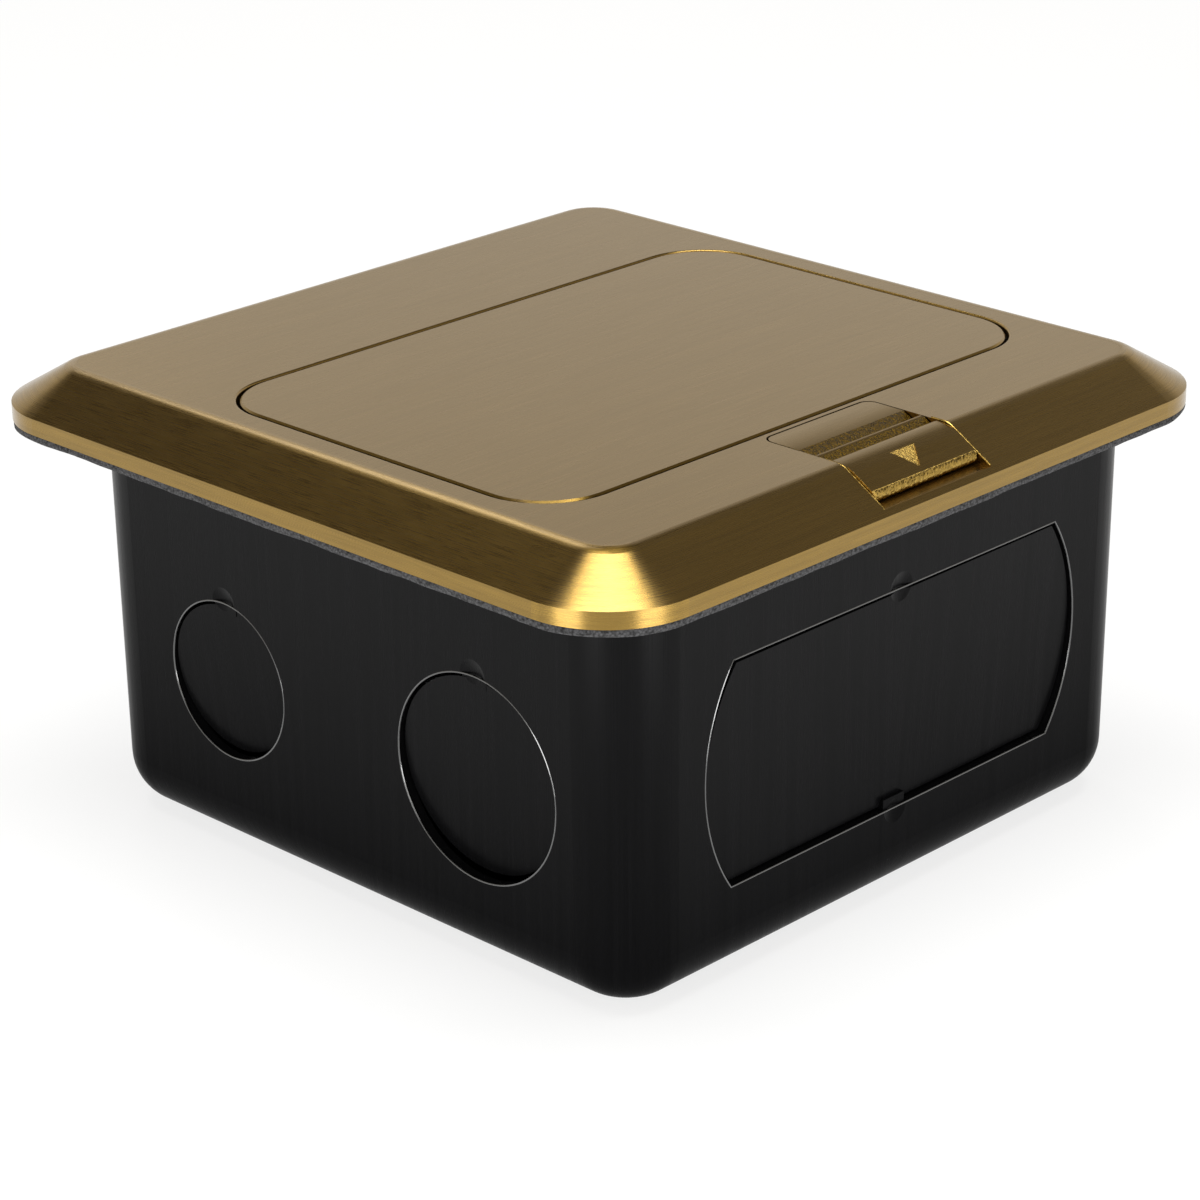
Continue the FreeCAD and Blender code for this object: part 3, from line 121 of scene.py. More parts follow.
class FloorBoxFinish(bpy.types.PropertyGroup):
    """Colours and surface values of the finishes."""
    brass: hex_prop("Brass", "Satin brass of the cover, lid and latch", "#957734")
    brass_cut: hex_prop("Cut brass", "Freshly cut brass on the slide's end and the mark", "#BD9D52")
    # Painted shade: the brass in the finger grooves is set darker than the rest
    brass_groove_shade: hex_prop("Sawn brass", "Darker brass in the finger grooves", "#5C4612")
    brass_rough: share_prop("Brass roughness", "Roughness between the brush lines", 0.27)
    paint: hex_prop("Box paint", "Black coating of the back box", "#0A0A0B")
    paint_rough: share_prop("Paint roughness", "Roughness of the black coating", 0.28)
    foam: hex_prop("Foam", "Closed-cell foam of the gasket", "#3E3E40")
    zinc: hex_prop("Zinc", "Zinc-plated sheet steel", "#B9BCC0")
    nickel: hex_prop("Nickel", "Nickel-plated screws", "#C4C1B8")
    wire: hex_prop("Spring wire", "Oiled music wire", "#6F7074")
    face: hex_prop("Outlet face", "Black moulded outlet face", "#17181A")
    body: hex_prop("Outlet body", "Dark moulded outlet body", "#222326")
    contact: hex_prop("Contact brass", "Stamped contacts", "#C9A552")
    green: hex_prop("Earth green", "Painted earth screw", "#1E6B3A")


class FloorBoxDetail(bpy.types.PropertyGroup):
    """Sizes of the detail that is added to the solids."""
    gasket_wave: length_prop("Gasket wave", "How far the foam's edge wanders", 0.22 * MM)
    gasket_step: length_prop("Gasket step", "Distance between points along the edge", 0.7 * MM)
    lip_radius: length_prop("Shear lip", "Radius of the rolled edge round a knockout", 0.13 * MM)
    mark_offset: length_prop("Mark offset", "Mark's base from the slide's end", 4.3 * MM)
    mark_half: length_prop("Mark half width", "Half of the arrow mark's base", 2.4 * MM)
    mark_length: length_prop("Mark length", "Arrow mark from base to tip, in plan", 3.1 * MM)
    mark_depth: length_prop("Mark depth", "Depth of the engraving", 0.16 * MM)
    slide_corner: length_prop("Slide corner", "Rounding of the slide's end in plan", 0.8 * MM)
    end_grain: length_prop("End grain", "Height of the sawn grain on the slide's end", 0.10 * MM)
    burr_radius: length_prop("Pocket burr", "Radius of the burr beside the slide", 0.13 * MM)
    slide_edge: length_prop("Slide edge", "Width of the slide's broken edges", 0.22 * MM)
    spring_wire: length_prop("Pop-up spring wire", "Radius of the torsion springs' wire", 0.35 * MM)
    latch_wire: length_prop("Latch spring wire", "Radius of the latch spring's wire", 0.25 * MM)


class FloorBoxStage(bpy.types.PropertyGroup):
    """Floor, light and camera."""
    floor_size: length_prop("Floor", "Side of the floor", 30.0, 1.0, 100.0)
    floor_colour: hex_prop("Floor colour", "Pale floor", "#F2F2F0")
    low_sky: hex_prop("Low sky", "Studio walls near the horizon", "#E6E2DA")
    mid_sky: hex_prop("Middle sky", "Dark upper part of the studio walls", "#382D0A")
    high_sky: hex_prop("High sky", "Ceiling", "#F4F4F4")
    lens: bpy.props.FloatProperty(name="Lens", description="Focal length", default=110.75,
                                  min=10.0, max=500.0, unit="CAMERA")


# ---------------------------------------------------------------- colour and nodes
def linear(code):
    """sRGB hex to linear RGBA."""
    channels = []
    for i in (1, 3, 5):
        c = int(code[i:i + 2], 16) / 255
        channels.append(c / 12.92 if c <= 0.04045 else ((c + 0.055) / 1.055) ** 2.4)
    return (*channels, 1.0)


def add(tree, kind, inputs=None, **settings):
    """Adds a node. Settings are its attributes; inputs, by name or index, are values, sockets or
    other nodes, which stand for their first output."""
    node = tree.nodes.new(kind)
    for name, value in settings.items():
        setattr(node, name, value)
    for key, value in (inputs or {}).items():
        if isinstance(value, bpy.types.Node):
            value = value.outputs[0]
        if isinstance(value, bpy.types.NodeSocket):
            tree.links.new(value, node.inputs[key])
        else:
            node.inputs[key].default_value = value
    return node


def new_material(name):
    """Empty material, its tree and the object's own coordinates."""
    material = bpy.data.materials.new(name)
    material.use_nodes = True
    tree = material.node_tree
    tree.nodes.clear()
    return material, tree, add(tree, "ShaderNodeTexCoord").outputs["Object"]


def close_material(tree, inputs):
    """Ends a material's tree in a Principled shader with these inputs."""
    shader = add(tree, "ShaderNodeBsdfPrincipled", inputs)
    add(tree, "ShaderNodeOutputMaterial", {"Surface": shader})


def shade(code, factor):
    """Colour of a hex code, made lighter or darker."""
    return (*(min(1.0, c * factor) for c in linear(code)[:3]), 1.0)


def streaks(tree, point, width_mm, length_mm, detail=3.0):
    """Noise drawn out along local X: width and length are the size of one streak."""
    scaled = add(tree, "ShaderNodeVectorMath", {
        0: point, 1: (1 / (length_mm * MM), 1 / (width_mm * MM), 1 / (width_mm * MM))},
        operation="MULTIPLY")
    return add(tree, "ShaderNodeTexNoise", {"Vector": scaled, "Scale": 1.0, "Detail": detail,
                                            "Roughness": 0.6})


def plan_distance(tree, point):
    """Distance out from the corner centres, place along and across the lines, way outward."""
    parts = add(tree, "ShaderNodeSeparateXYZ", {0: point}).outputs
    side, over, signed = [], [], []
    for part in (parts["X"], parts["Y"]):
        size = add(tree, "ShaderNodeMath", {0: part}, operation="ABSOLUTE")
        past = add(tree, "ShaderNodeMath", {0: size, 1: ARC_CENTRE}, operation="SUBTRACT")
        past = add(tree, "ShaderNodeMath", {0: past, 1: 0.0}, operation="MAXIMUM")
        hand = add(tree, "ShaderNodeMath", {0: part}, operation="SIGN")
        side.append(size)
        over.append(past)
        signed.append(add(tree, "ShaderNodeMath", {0: past, 1: hand}, operation="MULTIPLY"))
    pair = add(tree, "ShaderNodeCombineXYZ", {0: over[0], 1: over[1]})
    out = add(tree, "ShaderNodeVectorMath", {0: pair}, operation="LENGTH").outputs["Value"]
    along = add(tree, "ShaderNodeMath", {0: side[0], 1: side[1]}, operation="SUBTRACT")
    across = add(tree, "ShaderNodeMath", {0: out, 1: parts["Z"]}, operation="SUBTRACT")
    outward = add(tree, "ShaderNodeCombineXYZ", {0: signed[0], 1: signed[1]})
    outward = add(tree, "ShaderNodeVectorMath", {0: outward}, operation="NORMALIZE")
    return out, along, across, outward


# ---------------------------------------------------------------- finishes
def satin_brass(name, finish, follow_edge):
    """Brushed brass under clear lacquer. The belt leaves fine parallel lines that spread a
    reflection sideways; on the cover's slopes they turn with the edge."""
    material, tree, point = new_material(name)
    flat, broad = (add(tree, "ShaderNodeMapRange", {0: lines, 3: 0.33, 4: 0.67})
                   for lines in (streaks(tree, point, 0.13, 9.0),
                                 streaks(tree, point, 0.9, 40.0, 2.0)))
    tangent = add(tree, "ShaderNodeCombineXYZ", {1: 1.0})
    # Walls of the gaps behind the slide, which no belt reaches: left rough, and made darker as
    # painted shade in the gaps
    parts = add(tree, "ShaderNodeSeparateXYZ", {0: point}).outputs
    sunk = add(tree, "ShaderNodeMapRange", {
        0: parts["Z"], 1: PLATE_HIGH.z - 0.5 * MM, 2: PLATE_HIGH.z - 0.35 * MM, 3: 1.0, 4: 0.0})
    inside = add(tree, "ShaderNodeMapRange", {
        0: parts["Y"], 1: SLIDE_HIGH.y, 2: SLIDE_HIGH.y + 0.4 * MM})
    if follow_edge:
        out, along, across, outward = plan_distance(tree, point)
        turned = add(tree, "ShaderNodeCombineXYZ", {0: along, 1: across})
        edge = add(tree, "ShaderNodeMapRange", {
            0: streaks(tree, turned, 0.16, 7.0), 3: 0.1, 4: 0.9})
        edge_broad = streaks(tree, turned, 0.7, 26.0, 2.0)
        slope = add(tree, "ShaderNodeMapRange", {0: out, 1: 3.6 * MM, 2: 4.6 * MM})
        flat = add(tree, "ShaderNodeMix", {0: slope, 2: flat, 3: edge}, data_type="FLOAT")
        broad = add(tree, "ShaderNodeMix", {0: slope, 2: broad, 3: edge_broad},
                    data_type="FLOAT")
        tangent = add(tree, "ShaderNodeMix", {0: slope, 4: tangent, 5: outward},
                      data_type="VECTOR").outputs[1]
        within = add(tree, "ShaderNodeMapRange", {
            0: out, 1: 3.0 * MM, 2: 3.4 * MM, 3: 1.0, 4: 0.0})
        inside = add(tree, "ShaderNodeMath", {0: inside, 1: within}, operation="MULTIPLY")
    gap_shade_and_unbrushed = add(tree, "ShaderNodeMath", {0: sunk, 1: inside}, operation="MULTIPLY")
    value = add(tree, "ShaderNodeMath", {0: flat, 1: broad}, operation="ADD")
    value = add(tree, "ShaderNodeMapRange", {0: value, 1: 0.55, 2: 1.45})
    colour = add(tree, "ShaderNodeMix", {
        0: value, 6: shade(finish.brass, 0.78), 7: shade(finish.brass, 1.16)},
        data_type="RGBA").outputs[2]
    # Painted shade: the gap walls take the brass at 0.4 of its brightness
    colour = add(tree, "ShaderNodeMix", {0: gap_shade_and_unbrushed, 6: colour, 7: shade(finish.brass, 0.4)},
                 data_type="RGBA").outputs[2]
    rough = add(tree, "ShaderNodeMapRange", {
        0: flat, 1: 0.3, 2: 0.7, 3: finish.brass_rough + 0.09, 4: finish.brass_rough - 0.06})
    rough = add(tree, "ShaderNodeMix", {0: gap_shade_and_unbrushed, 2: rough, 3: 0.5}, data_type="FLOAT")
    relief = add(tree, "ShaderNodeBump", {
        "Strength": 1.0, "Distance": 0.007 * MM, "Height": flat})
    close_material(tree, {
        "Base Color": colour, "Roughness": rough, "Metallic": 1.0, "Anisotropic": 0.7,
        "Tangent": tangent, "Coat Weight": 0.5, "Coat Roughness": 0.24, "Normal": relief})
    return material


def black_coating(finish):
    """Black electro-coat over drawn steel. It is thin, so the die's fine upright lines show
    through it as a change of gloss. Its mirror is drawn weaker toward the bottom as painted shade,
    in place of the shadowed floor it reflects there, so that the walls go from a soft sheen under
    the gasket to a flat black at the floor."""
    material, tree, point = new_material("black_electrocoat")
    parts = add(tree, "ShaderNodeSeparateXYZ", {0: point}).outputs
    size = [add(tree, "ShaderNodeMath", {0: part}, operation="ABSOLUTE")
            for part in (parts["X"], parts["Y"])]
    round_about = add(tree, "ShaderNodeMath", {0: size[0], 1: size[1]}, operation="SUBTRACT")
    upright = add(tree, "ShaderNodeCombineXYZ", {0: parts["Z"], 1: round_about})
    line = streaks(tree, upright, 0.22, 30.0)
    value = add(tree, "ShaderNodeMath", {0: line, 1: streaks(tree, upright, 1.6, 80.0, 2.0)},
                operation="ADD")
    tone = add(tree, "ShaderNodeMapRange", {0: value, 1: 0.6, 2: 1.4})
    colour = add(tree, "ShaderNodeMix", {
        0: tone, 6: shade(finish.paint, 0.75), 7: shade(finish.paint, 1.45)},
        data_type="RGBA").outputs[2]
    rough = add(tree, "ShaderNodeMapRange", {
        0: value, 1: 0.6, 2: 1.4, 3: finish.paint_rough + 0.08, 4: finish.paint_rough - 0.06})
    # Painted shade: the mirror fades toward the bottom, standing in for the floor's shadow there
    gloss = add(tree, "ShaderNodeMapRange", {0: parts["Z"], 2: 52 * MM, 3: 0.02, 4: 0.42})
    relief = add(tree, "ShaderNodeBump", {
        "Strength": 1.0, "Distance": 0.0035 * MM, "Height": line})
    close_material(tree, {"Base Color": colour, "Roughness": rough, "IOR": 1.2,
                          "Specular IOR Level": gloss, "Normal": relief})
    return material


def gasket_foam(name, finish):
    """Closed-cell foam, die-cut: open cells on the cut edge read as dark and light specks."""
    material, tree, point = new_material(name)
    cells = add(tree, "ShaderNodeTexVoronoi", {"Vector": point, "Scale": 1 / (0.34 * MM)})
    speck = add(tree, "ShaderNodeTexNoise", {
        "Vector": point, "Scale": 1 / (0.22 * MM), "Detail": 3.0, "Roughness": 0.7})
    depth = add(tree, "ShaderNodeMath", {0: cells, 1: speck}, operation="MULTIPLY")
    tone = add(tree, "ShaderNodeMapRange", {0: depth, 1: 0.05, 2: 0.45, 3: 1.0, 4: 0.0})
    colour = add(tree, "ShaderNodeMix", {
        0: tone, 6: shade(finish.foam, 0.16), 7: shade(finish.foam, 1.7)},
        data_type="RGBA").outputs[2]
    relief = add(tree, "ShaderNodeBump", {
        "Strength": 1.0, "Distance": 0.12 * MM, "Height": depth})
    close_material(tree, {"Base Color": colour, "Roughness": 0.92, "Normal": relief})
    return material


def grained(name, code, size, texture, span, tones, rough, depth, **constants):
    """One noise behind colour, gloss and bump. size is the grain in mm, texture its detail and
    roughness, span the stretch of it between the two tones, rough the roughness at its low and
    high places if it varies, depth the bump in mm and constants the shader's own values."""
    material, tree, point = new_material(name)
    grain = add(tree, "ShaderNodeTexNoise", {
        "Vector": point, "Scale": 1 / (size * MM), "Detail": texture[0], "Roughness": texture[1]})
    tone = add(tree, "ShaderNodeMapRange", {0: grain, 1: span[0], 2: span[1]})
    colour = add(tree, "ShaderNodeMix", {
        0: tone, 6: shade(code, tones[0]), 7: shade(code, tones[1])},
        data_type="RGBA").outputs[2]
    inputs = {"Base Color": colour, **constants}
    if rough:
        inputs["Roughness"] = add(tree, "ShaderNodeMapRange", {
            0: grain, 1: 0.3, 2: 0.7, 3: rough[0], 4: rough[1]})
    if depth:
        inputs["Normal"] = add(tree, "ShaderNodeBump", {
            "Strength": 1.0, "Distance": depth * MM, "Height": grain})
    close_material(tree, inputs)
    return material


FINISHES = {}


def make_finishes(finish):
    FINISHES["cover"] = satin_brass("satin_brass_cover", finish, True)
    FINISHES["lid"] = satin_brass("satin_brass_lid", finish, False)
    FINISHES["paint"] = black_coating(finish)
    FINISHES["foam"] = gasket_foam("die_cut_foam", finish)
    for key, name, code, rough, depth in (
            # Stamped or sawn with no brushing after it: a coarse, glinting grain
            ("cut", "cut_brass", finish.brass_cut, (0.24, 0.46), 0.28),
            # Freshly sheared or rubbed bright: a clean, sharp glint
            ("bright", "polished_brass", finish.brass_cut, (0.12, 0.34), 0.01),
            # Sawn, with a darker colour that is painted shade in the finger grooves: dark with
            # brown specks
            ("groove", "sawn_brass_shaded", finish.brass_groove_shade, (0.20, 0.42), 0.22)):
        FINISHES[key] = grained(name, code, 0.45, (4.0, 0.65), (0.35, 0.65), (0.6, 1.2),
                                rough, depth, Metallic=1.0)
    for key, name, code, patch, rough in (
            # Zinc plate on pressed sheet: pale, with soft clouds
            ("zinc", "zinc_plated_sheet", finish.zinc, 3.0, (0.44, 0.28)),
            # Nickel plate on turned screws: warmer and brighter
            ("nickel", "nickel_plated_screw", finish.nickel, 0.8, (0.34, 0.18)),
            # Drawn and oiled music wire: dark, with a thin bright line
            ("wire", "music_wire", finish.wire, 0.6, (0.40, 0.24)),
            # Stamped contact brass: yellow, slightly stained
            ("contact", "stamped_contact_brass", finish.contact, 1.5, (0.40, 0.24))):
        FINISHES[key] = grained(name, code, patch, (5.0, 0.6), (0.3, 0.7), (0.78, 1.08),
                                rough, 0.01, Metallic=1.0)
    for key, name, code, rough in (
            # Injection-moulded, spark-eroded mould: the fine grain dulls the shine
            ("face", "moulded_outlet_face", finish.face, (0.37, 0.50)),
            ("body", "moulded_outlet_body", finish.body, (0.45, 0.58))):
        FINISHES[key] = grained(name, code, 0.3, (3.0, 0.5), (0.0, 1.0), (0.85, 1.15),
                                rough, 0.012, IOR=1.5)
    # Enamel over a steel screw: glossy with a little orange peel
    FINISHES["green"] = grained("green_enamel", finish.green, 0.8, (2.0, 0.5), (0.0, 1.0),
                                (0.8, 1.15), None, 0.02, Roughness=0.28)
    # The box's coating where it gathers on a sheared edge, thick and wet-looking, so it
    # mirrors more than a thin film does
    FINISHES["edge"] = grained("black_coating_on_edges", finish.paint, 1.2, (2.0, 0.5), (0.0, 1.0),
                               (0.8, 1.2), (0.08, 0.20), None, IOR=2.2)


NODE_FINISHES = {
    "paint": ("back_box",),
    "zinc": ("box_ear_front_left", "box_ear_front_right", "box_ear_rear_left",
             "box_ear_rear_right", "inner_frame", "cradle", "latch_tongue"),
    "green": ("ground_screw", "ground_terminal_screw"),
    "foam": ("cover_gasket", "lid_seal"),
    "cover": ("cover_plate", "latch_slide"),
    "lid": ("lid",),
    "nickel": ("frame_screws", "cover_screws", "hinge_pin", "lid_screws", "neutral_terminal_screw",
               "socket_screws", "latch_screws"),
    "wire": ("hinge_clip", "popup_spring_left", "popup_spring_right", "latch_spring"),
    "face": ("socket_face",),
    "body": ("socket_body",),
    "contact": ("hot_bus", "neutral_bus", "ground_bus", "hot_terminal_screw"),
}


def paint_node(name, finish_key):
    """Gives a CAD node its finish through its material slots."""
    node = frame["nodes"][name]
    if not node.material_slots:
        raise RuntimeError(name + " has no material slot")
    for slot in node.material_slots:
        slot.material = FINISHES[finish_key]


# ---------------------------------------------------------------- mesh helpers
def link(name, mesh):
    piece = bpy.data.objects.new(name, mesh)
    bpy.context.scene.collection.objects.link(piece)
    return piece


def merged_copy(node_name):
    """bmesh of a CAD node with its loose triangles joined."""
    work = bmesh.new()
    work.from_mesh(frame["nodes"][node_name].data)
    bmesh.ops.remove_doubles(work, verts=work.verts, dist=1e-6)
    return work


def loose_groups(node_name):
    """Points of each separate solid of a CAD node, sorted by place."""
    work = merged_copy(node_name)
    seen = set()
    groups = []
    for start in work.verts:
        if start in seen:
            continue
        seen.add(start)
        stack = [start]
        points = []
        while stack:
            vert = stack.pop()
            points.append(vert.co.copy())
            for edge in vert.link_edges:
                other = edge.other_vert(vert)
                if other not in seen:
                    seen.add(other)
                    stack.append(other)
        groups.append(points)
    work.free()
    return sorted(groups, key=lambda ps: [round(sum(p[axis] for p in ps) / len(ps), 4)
                                          for axis in (1, 0)])


def finish_mesh(mesh, angle_deg=35.0):
    mesh.polygons.foreach_set("use_smooth", [True] * len(mesh.polygons))
    mesh.set_sharp_from_angle(angle=math.radians(angle_deg))
    mesh.update()


def weigh_normals(piece):
    """Keeps large flat faces flat where they run into small rounded ones."""
    modifier = piece.modifiers.new("normals", "WEIGHTED_NORMAL")
    modifier.keep_sharp = True
    graph = bpy.context.evaluated_depsgraph_get()
    mesh = bpy.data.meshes.new_from_object(piece.evaluated_get(graph), depsgraph=graph)
    piece.modifiers.clear()
    piece.data = mesh


def modifier_result(name, source, tree, inputs):
    """Runs a node tree on an object and returns the result as a plain mesh object."""
    modifier = source.modifiers.new("build", "NODES")
    modifier.node_group = tree
    identifiers = {item.name: item.identifier for item in tree.interface.items_tree
                   if item.item_type == "SOCKET" and item.in_out == "INPUT"}
    for key, value in inputs.items():
        modifier[identifiers[key]] = value
    graph = bpy.context.evaluated_depsgraph_get()
    mesh = bpy.data.meshes.new_from_object(source.evaluated_get(graph), depsgraph=graph)
    source.modifiers.remove(modifier)
    bpy.data.objects.remove(source)
    if not mesh.polygons:
        raise RuntimeError(name + " came out empty")
    mesh.name = name
    finish_mesh(mesh)
    return link(name, mesh)


# ---------------------------------------------------------------- node trees
def new_tree(name, sockets):
    """Geometry tree with an input for each label, kind and default."""
    tree = bpy.data.node_groups.new(name, "GeometryNodeTree")
    for label, kind, default in (("Geometry", "NodeSocketGeometry", None), *sockets):
        socket = tree.interface.new_socket(label, in_out="INPUT", socket_type=kind)
        if default is not None:
            socket.default_value = default
    tree.interface.new_socket("Geometry", in_out="OUTPUT", socket_type="NodeSocketGeometry")
    return tree, add(tree, "NodeGroupInput").outputs


def close_tree(tree, geometry, material):
    """Ends a geometry tree with its instances made real and painted."""
    real = add(tree, "GeometryNodeRealizeInstances", {0: geometry})
    painted = add(tree, "GeometryNodeSetMaterial", {0: real, "Material": material})
    add(tree, "NodeGroupOutput", {0: painted})
    return tree


def wire_tree():
    """Round wire along the points of a path."""
    tree, given = new_tree("wire_along_path", [
        ("Radius", "NodeSocketFloat", 0.3 * MM), ("Sides", "NodeSocketInt", 10),
        ("Material", "NodeSocketMaterial", None)])
    path = add(tree, "GeometryNodeMeshToCurve", {0: given["Geometry"]})
    ring = add(tree, "GeometryNodeCurvePrimitiveCircle", {
        "Resolution": given["Sides"], "Radius": given["Radius"]})
    tube = add(tree, "GeometryNodeCurveToMesh", {"Curve": path, "Profile Curve": ring,
                                                 "Fill Caps": True})
    return close_tree(tree, tube, given["Material"])


def wire_piece(name, paths, tree, radius, sides, finish, closed=False):
    """Piece of round wire along each list of points."""
    verts = []
    edges = []
    for points in paths:
        first, count = len(verts), len(points)
        verts += [tuple(p) for p in points]
        edges += [(first + i, first + (i + 1) % count)
                  for i in range(count if closed else count - 1)]
    mesh = bpy.data.meshes.new(name + "_paths")
    mesh.from_pydata(verts, edges, [])
    return modifier_result(name, link(name + "_paths", mesh), tree, {
        "Radius": radius, "Sides": sides, "Material": FINISHES[finish]})


def screw_tree():
    """Cross-head screw on each point: a domed or flat head, a core and a wound thread."""
    tree, given = new_tree("cross_head_screws", [
        ("Head Radius", "NodeSocketFloat", 2.5 * MM), ("Head Height", "NodeSocketFloat", 1.4 * MM),
        ("Crown", "NodeSocketFloat", 0.7), ("Seat", "NodeSocketFloat", 1.0),
        ("Lift", "NodeSocketFloat", 0.0), ("Core Radius", "NodeSocketFloat", 1.1 * MM),
        ("Length", "NodeSocketFloat", 5.0 * MM), ("Pitch", "NodeSocketFloat", 0.6 * MM),
        ("Seed", "NodeSocketInt", 3), ("Material", "NodeSocketMaterial", None)])
    # Lengths worked out from the inputs: name, first term, second term, operation
    sizes = dict(given.items())
    for label, first, second, operation in (
            ("crown", "Head Radius", "Crown", "MULTIPLY"),
            ("seat", "Head Radius", "Seat", "MULTIPLY"),
            ("rim", "Head Height", 0.45, "MULTIPLY"), ("dome", "Head Height", 0.55, "MULTIPLY"),
            ("dome at", "Lift", "rim", "ADD"), ("arm", "Head Radius", 1.15, "MULTIPLY"),
            ("slot", "Head Radius", 0.24, "MULTIPLY"), ("deep", "Head Height", 1.2, "MULTIPLY"),
            ("top", "Lift", "Head Height", "ADD"), ("half", "Length", -0.5, "MULTIPLY"),
            ("core at", "half", "Lift", "ADD"), ("turns", "Length", "Pitch", "DIVIDE"),
            ("ridge", "Pitch", 0.2, "MULTIPLY"), ("thread at", "Lift", "Length", "SUBTRACT")):
        sizes[label] = add(tree, "ShaderNodeMath", {
            0: sizes[first], 1: sizes.get(second, second)}, operation=operation)
    lower = add(tree, "GeometryNodeMeshCone", {
        "Vertices": 40, "Radius Top": sizes["Head Radius"], "Radius Bottom": sizes["seat"],
        "Depth": sizes["rim"]})
    upper = add(tree, "GeometryNodeMeshCone", {
        "Vertices": 40, "Side Segments": 3, "Radius Top": sizes["crown"],
        "Radius Bottom": sizes["Head Radius"], "Depth": sizes["dome"]})
    bars = []
    for x, y in (("arm", "slot"), ("slot", "arm")):
        size = add(tree, "ShaderNodeCombineXYZ", {0: sizes[x], 1: sizes[y], 2: sizes["deep"]})
        bars.append(add(tree, "GeometryNodeMeshCube", {"Size": size}))
    core = add(tree, "GeometryNodeMeshCylinder", {
        "Vertices": 28, "Radius": sizes["Core Radius"], "Depth": sizes["Length"]})
    coil = add(tree, "GeometryNodeCurveSpiral", {
        "Resolution": 20, "Rotations": sizes["turns"], "Start Radius": sizes["Core Radius"],
        "End Radius": sizes["Core Radius"], "Height": sizes["Length"]})
    ridge = add(tree, "GeometryNodeCurvePrimitiveCircle", {
        "Resolution": 4, "Radius": sizes["ridge"]})
    thread = add(tree, "GeometryNodeCurveToMesh", {"Curve": coil, "Profile Curve": ridge,
                                                   "Fill Caps": True})
    moved = []
    for part, height in ((lower, "Lift"), (upper, "dome at"), (bars[0], "top"), (bars[1], "top"),
                         (core, "core at"), (thread, "thread at")):
        offset = add(tree, "ShaderNodeCombineXYZ", {2: sizes[height]})
        moved.append(add(tree, "GeometryNodeTransform", {0: part, "Translation": offset}))
    lower, upper, *bars, core, thread = moved
    head = add(tree, "GeometryNodeMeshBoolean", operation="UNION", solver="EXACT")
    cut = add(tree, "GeometryNodeMeshBoolean", {0: head}, operation="DIFFERENCE", solver="EXACT")
    whole = add(tree, "GeometryNodeJoinGeometry")
    for socket, parts in ((head.inputs[1], (lower, upper)), (cut.inputs[1], bars),
                          (whole.inputs[0], (cut, core, thread))):
        for part in parts:
            tree.links.new(part.outputs[0], socket)
    spots = add(tree, "GeometryNodeMeshToPoints", {0: given["Geometry"]})
    facing = add(tree, "GeometryNodeInputNamedAttribute", {"Name": "facing"},
                 data_type="FLOAT_VECTOR")
    turn = add(tree, "FunctionNodeAlignRotationToVector", {"Vector": facing}, axis="Z")
    spin = add(tree, "FunctionNodeRandomValue", {"Seed": given["Seed"], 2: 0.0, 3: math.pi / 2},
               data_type="FLOAT").outputs[1]
    about = add(tree, "ShaderNodeCombineXYZ", {2: spin})
    twist = add(tree, "FunctionNodeEulerToRotation", {0: about})
    pose = add(tree, "FunctionNodeRotateRotation", {0: turn, 1: twist}, rotation_space="LOCAL")
    placed = add(tree, "GeometryNodeInstanceOnPoints", {0: spots, "Instance": whole,
                                                        "Rotation": pose})
    return close_tree(tree, placed, given["Material"])


def screw_points(name, seats, facing):
    """Mesh of single points, each with the direction that its screw's head faces."""
    mesh = bpy.data.meshes.new(name)
    mesh.from_pydata([tuple(s) for s in seats], [], [])
    attribute = mesh.attributes.new("facing", "FLOAT_VECTOR", "POINT")
    attribute.data.foreach_set("vector", [c for _ in seats for c in facing])
    return link(name, mesh)


def screws_from_node(node, facing, head_radius, head_height, core_radius, tree, sunk):
    """Detailed screws where a CAD node has its plain ones, on the same seats."""
    facing = Vector(facing)
    seats = []
    length = 0.0
    for points in loose_groups(node):
        heights = [p.dot(facing) for p in points]
        centre = sum(points, Vector()) / len(points)
        centre -= facing * centre.dot(facing)
        seat = max(heights) - (0.0 if sunk else head_height)
        seats.append(centre + facing * seat)
        length = max(length, seat - min(heights))
    if sunk:
        shape = {"Head Height": head_height * 0.985, "Crown": 0.985,
                 "Seat": core_radius / head_radius * 1.5, "Lift": -head_height,
                 "Length": length - head_height}
    else:
        shape = {"Head Height": head_height, "Crown": 0.62, "Seat": 1.0, "Lift": 0.0,
                 "Length": length}
    return modifier_result(node + "_detail", screw_points(node + "_points", seats, facing), tree, {
        "Head Radius": head_radius, "Core Radius": core_radius * 0.86, "Pitch": 0.6 * MM,
        "Material": FINISHES["nickel"], **shape})


# ---------------------------------------------------------------- operators
class FLOORBOX_OT_finishes(bpy.types.Operator):
    """Makes the finishes and gives each CAD node its own"""
    bl_idname = "floorbox.finishes"
    bl_label = "Finishes"

    def execute(self, context):
        make_finishes(context.scene.floorbox_finish)
        for key, names in NODE_FINISHES.items():
            for name in names:
                paint_node(name, key)
        return {"FINISHED"}


def ring_points(half, radius, step, centre_y=0.0):
    """Points and outward directions round a rounded square, anticlockwise."""
    straight = half - radius
    corners = ((1, -1, -90), (1, 1, 0), (-1, 1, 90), (-1, -1, 180))
    count = max(2, round(2 * straight / step))
    arc = max(4, round(radius * math.pi / 2 / step))
    result = []
    for i, (sx, sy, start) in enumerate(corners):
        centre = Vector((sx * straight, sy * straight + centre_y, 0))
        for k in range(arc):
            angle = math.radians(start + 90 * k / arc)
            out = Vector((math.cos(angle), math.sin(angle), 0))
            result.append((centre + out * radius, out))
        angle = math.radians(start + 90)
        out = Vector((math.cos(angle), math.sin(angle), 0))
        nx, ny, _ = corners[(i + 1) % 4]
        following = Vector((nx * straight, ny * straight + centre_y, 0))
        result += [(centre.lerp(following, k / count) + out * radius, out) for k in range(count)]
    return result


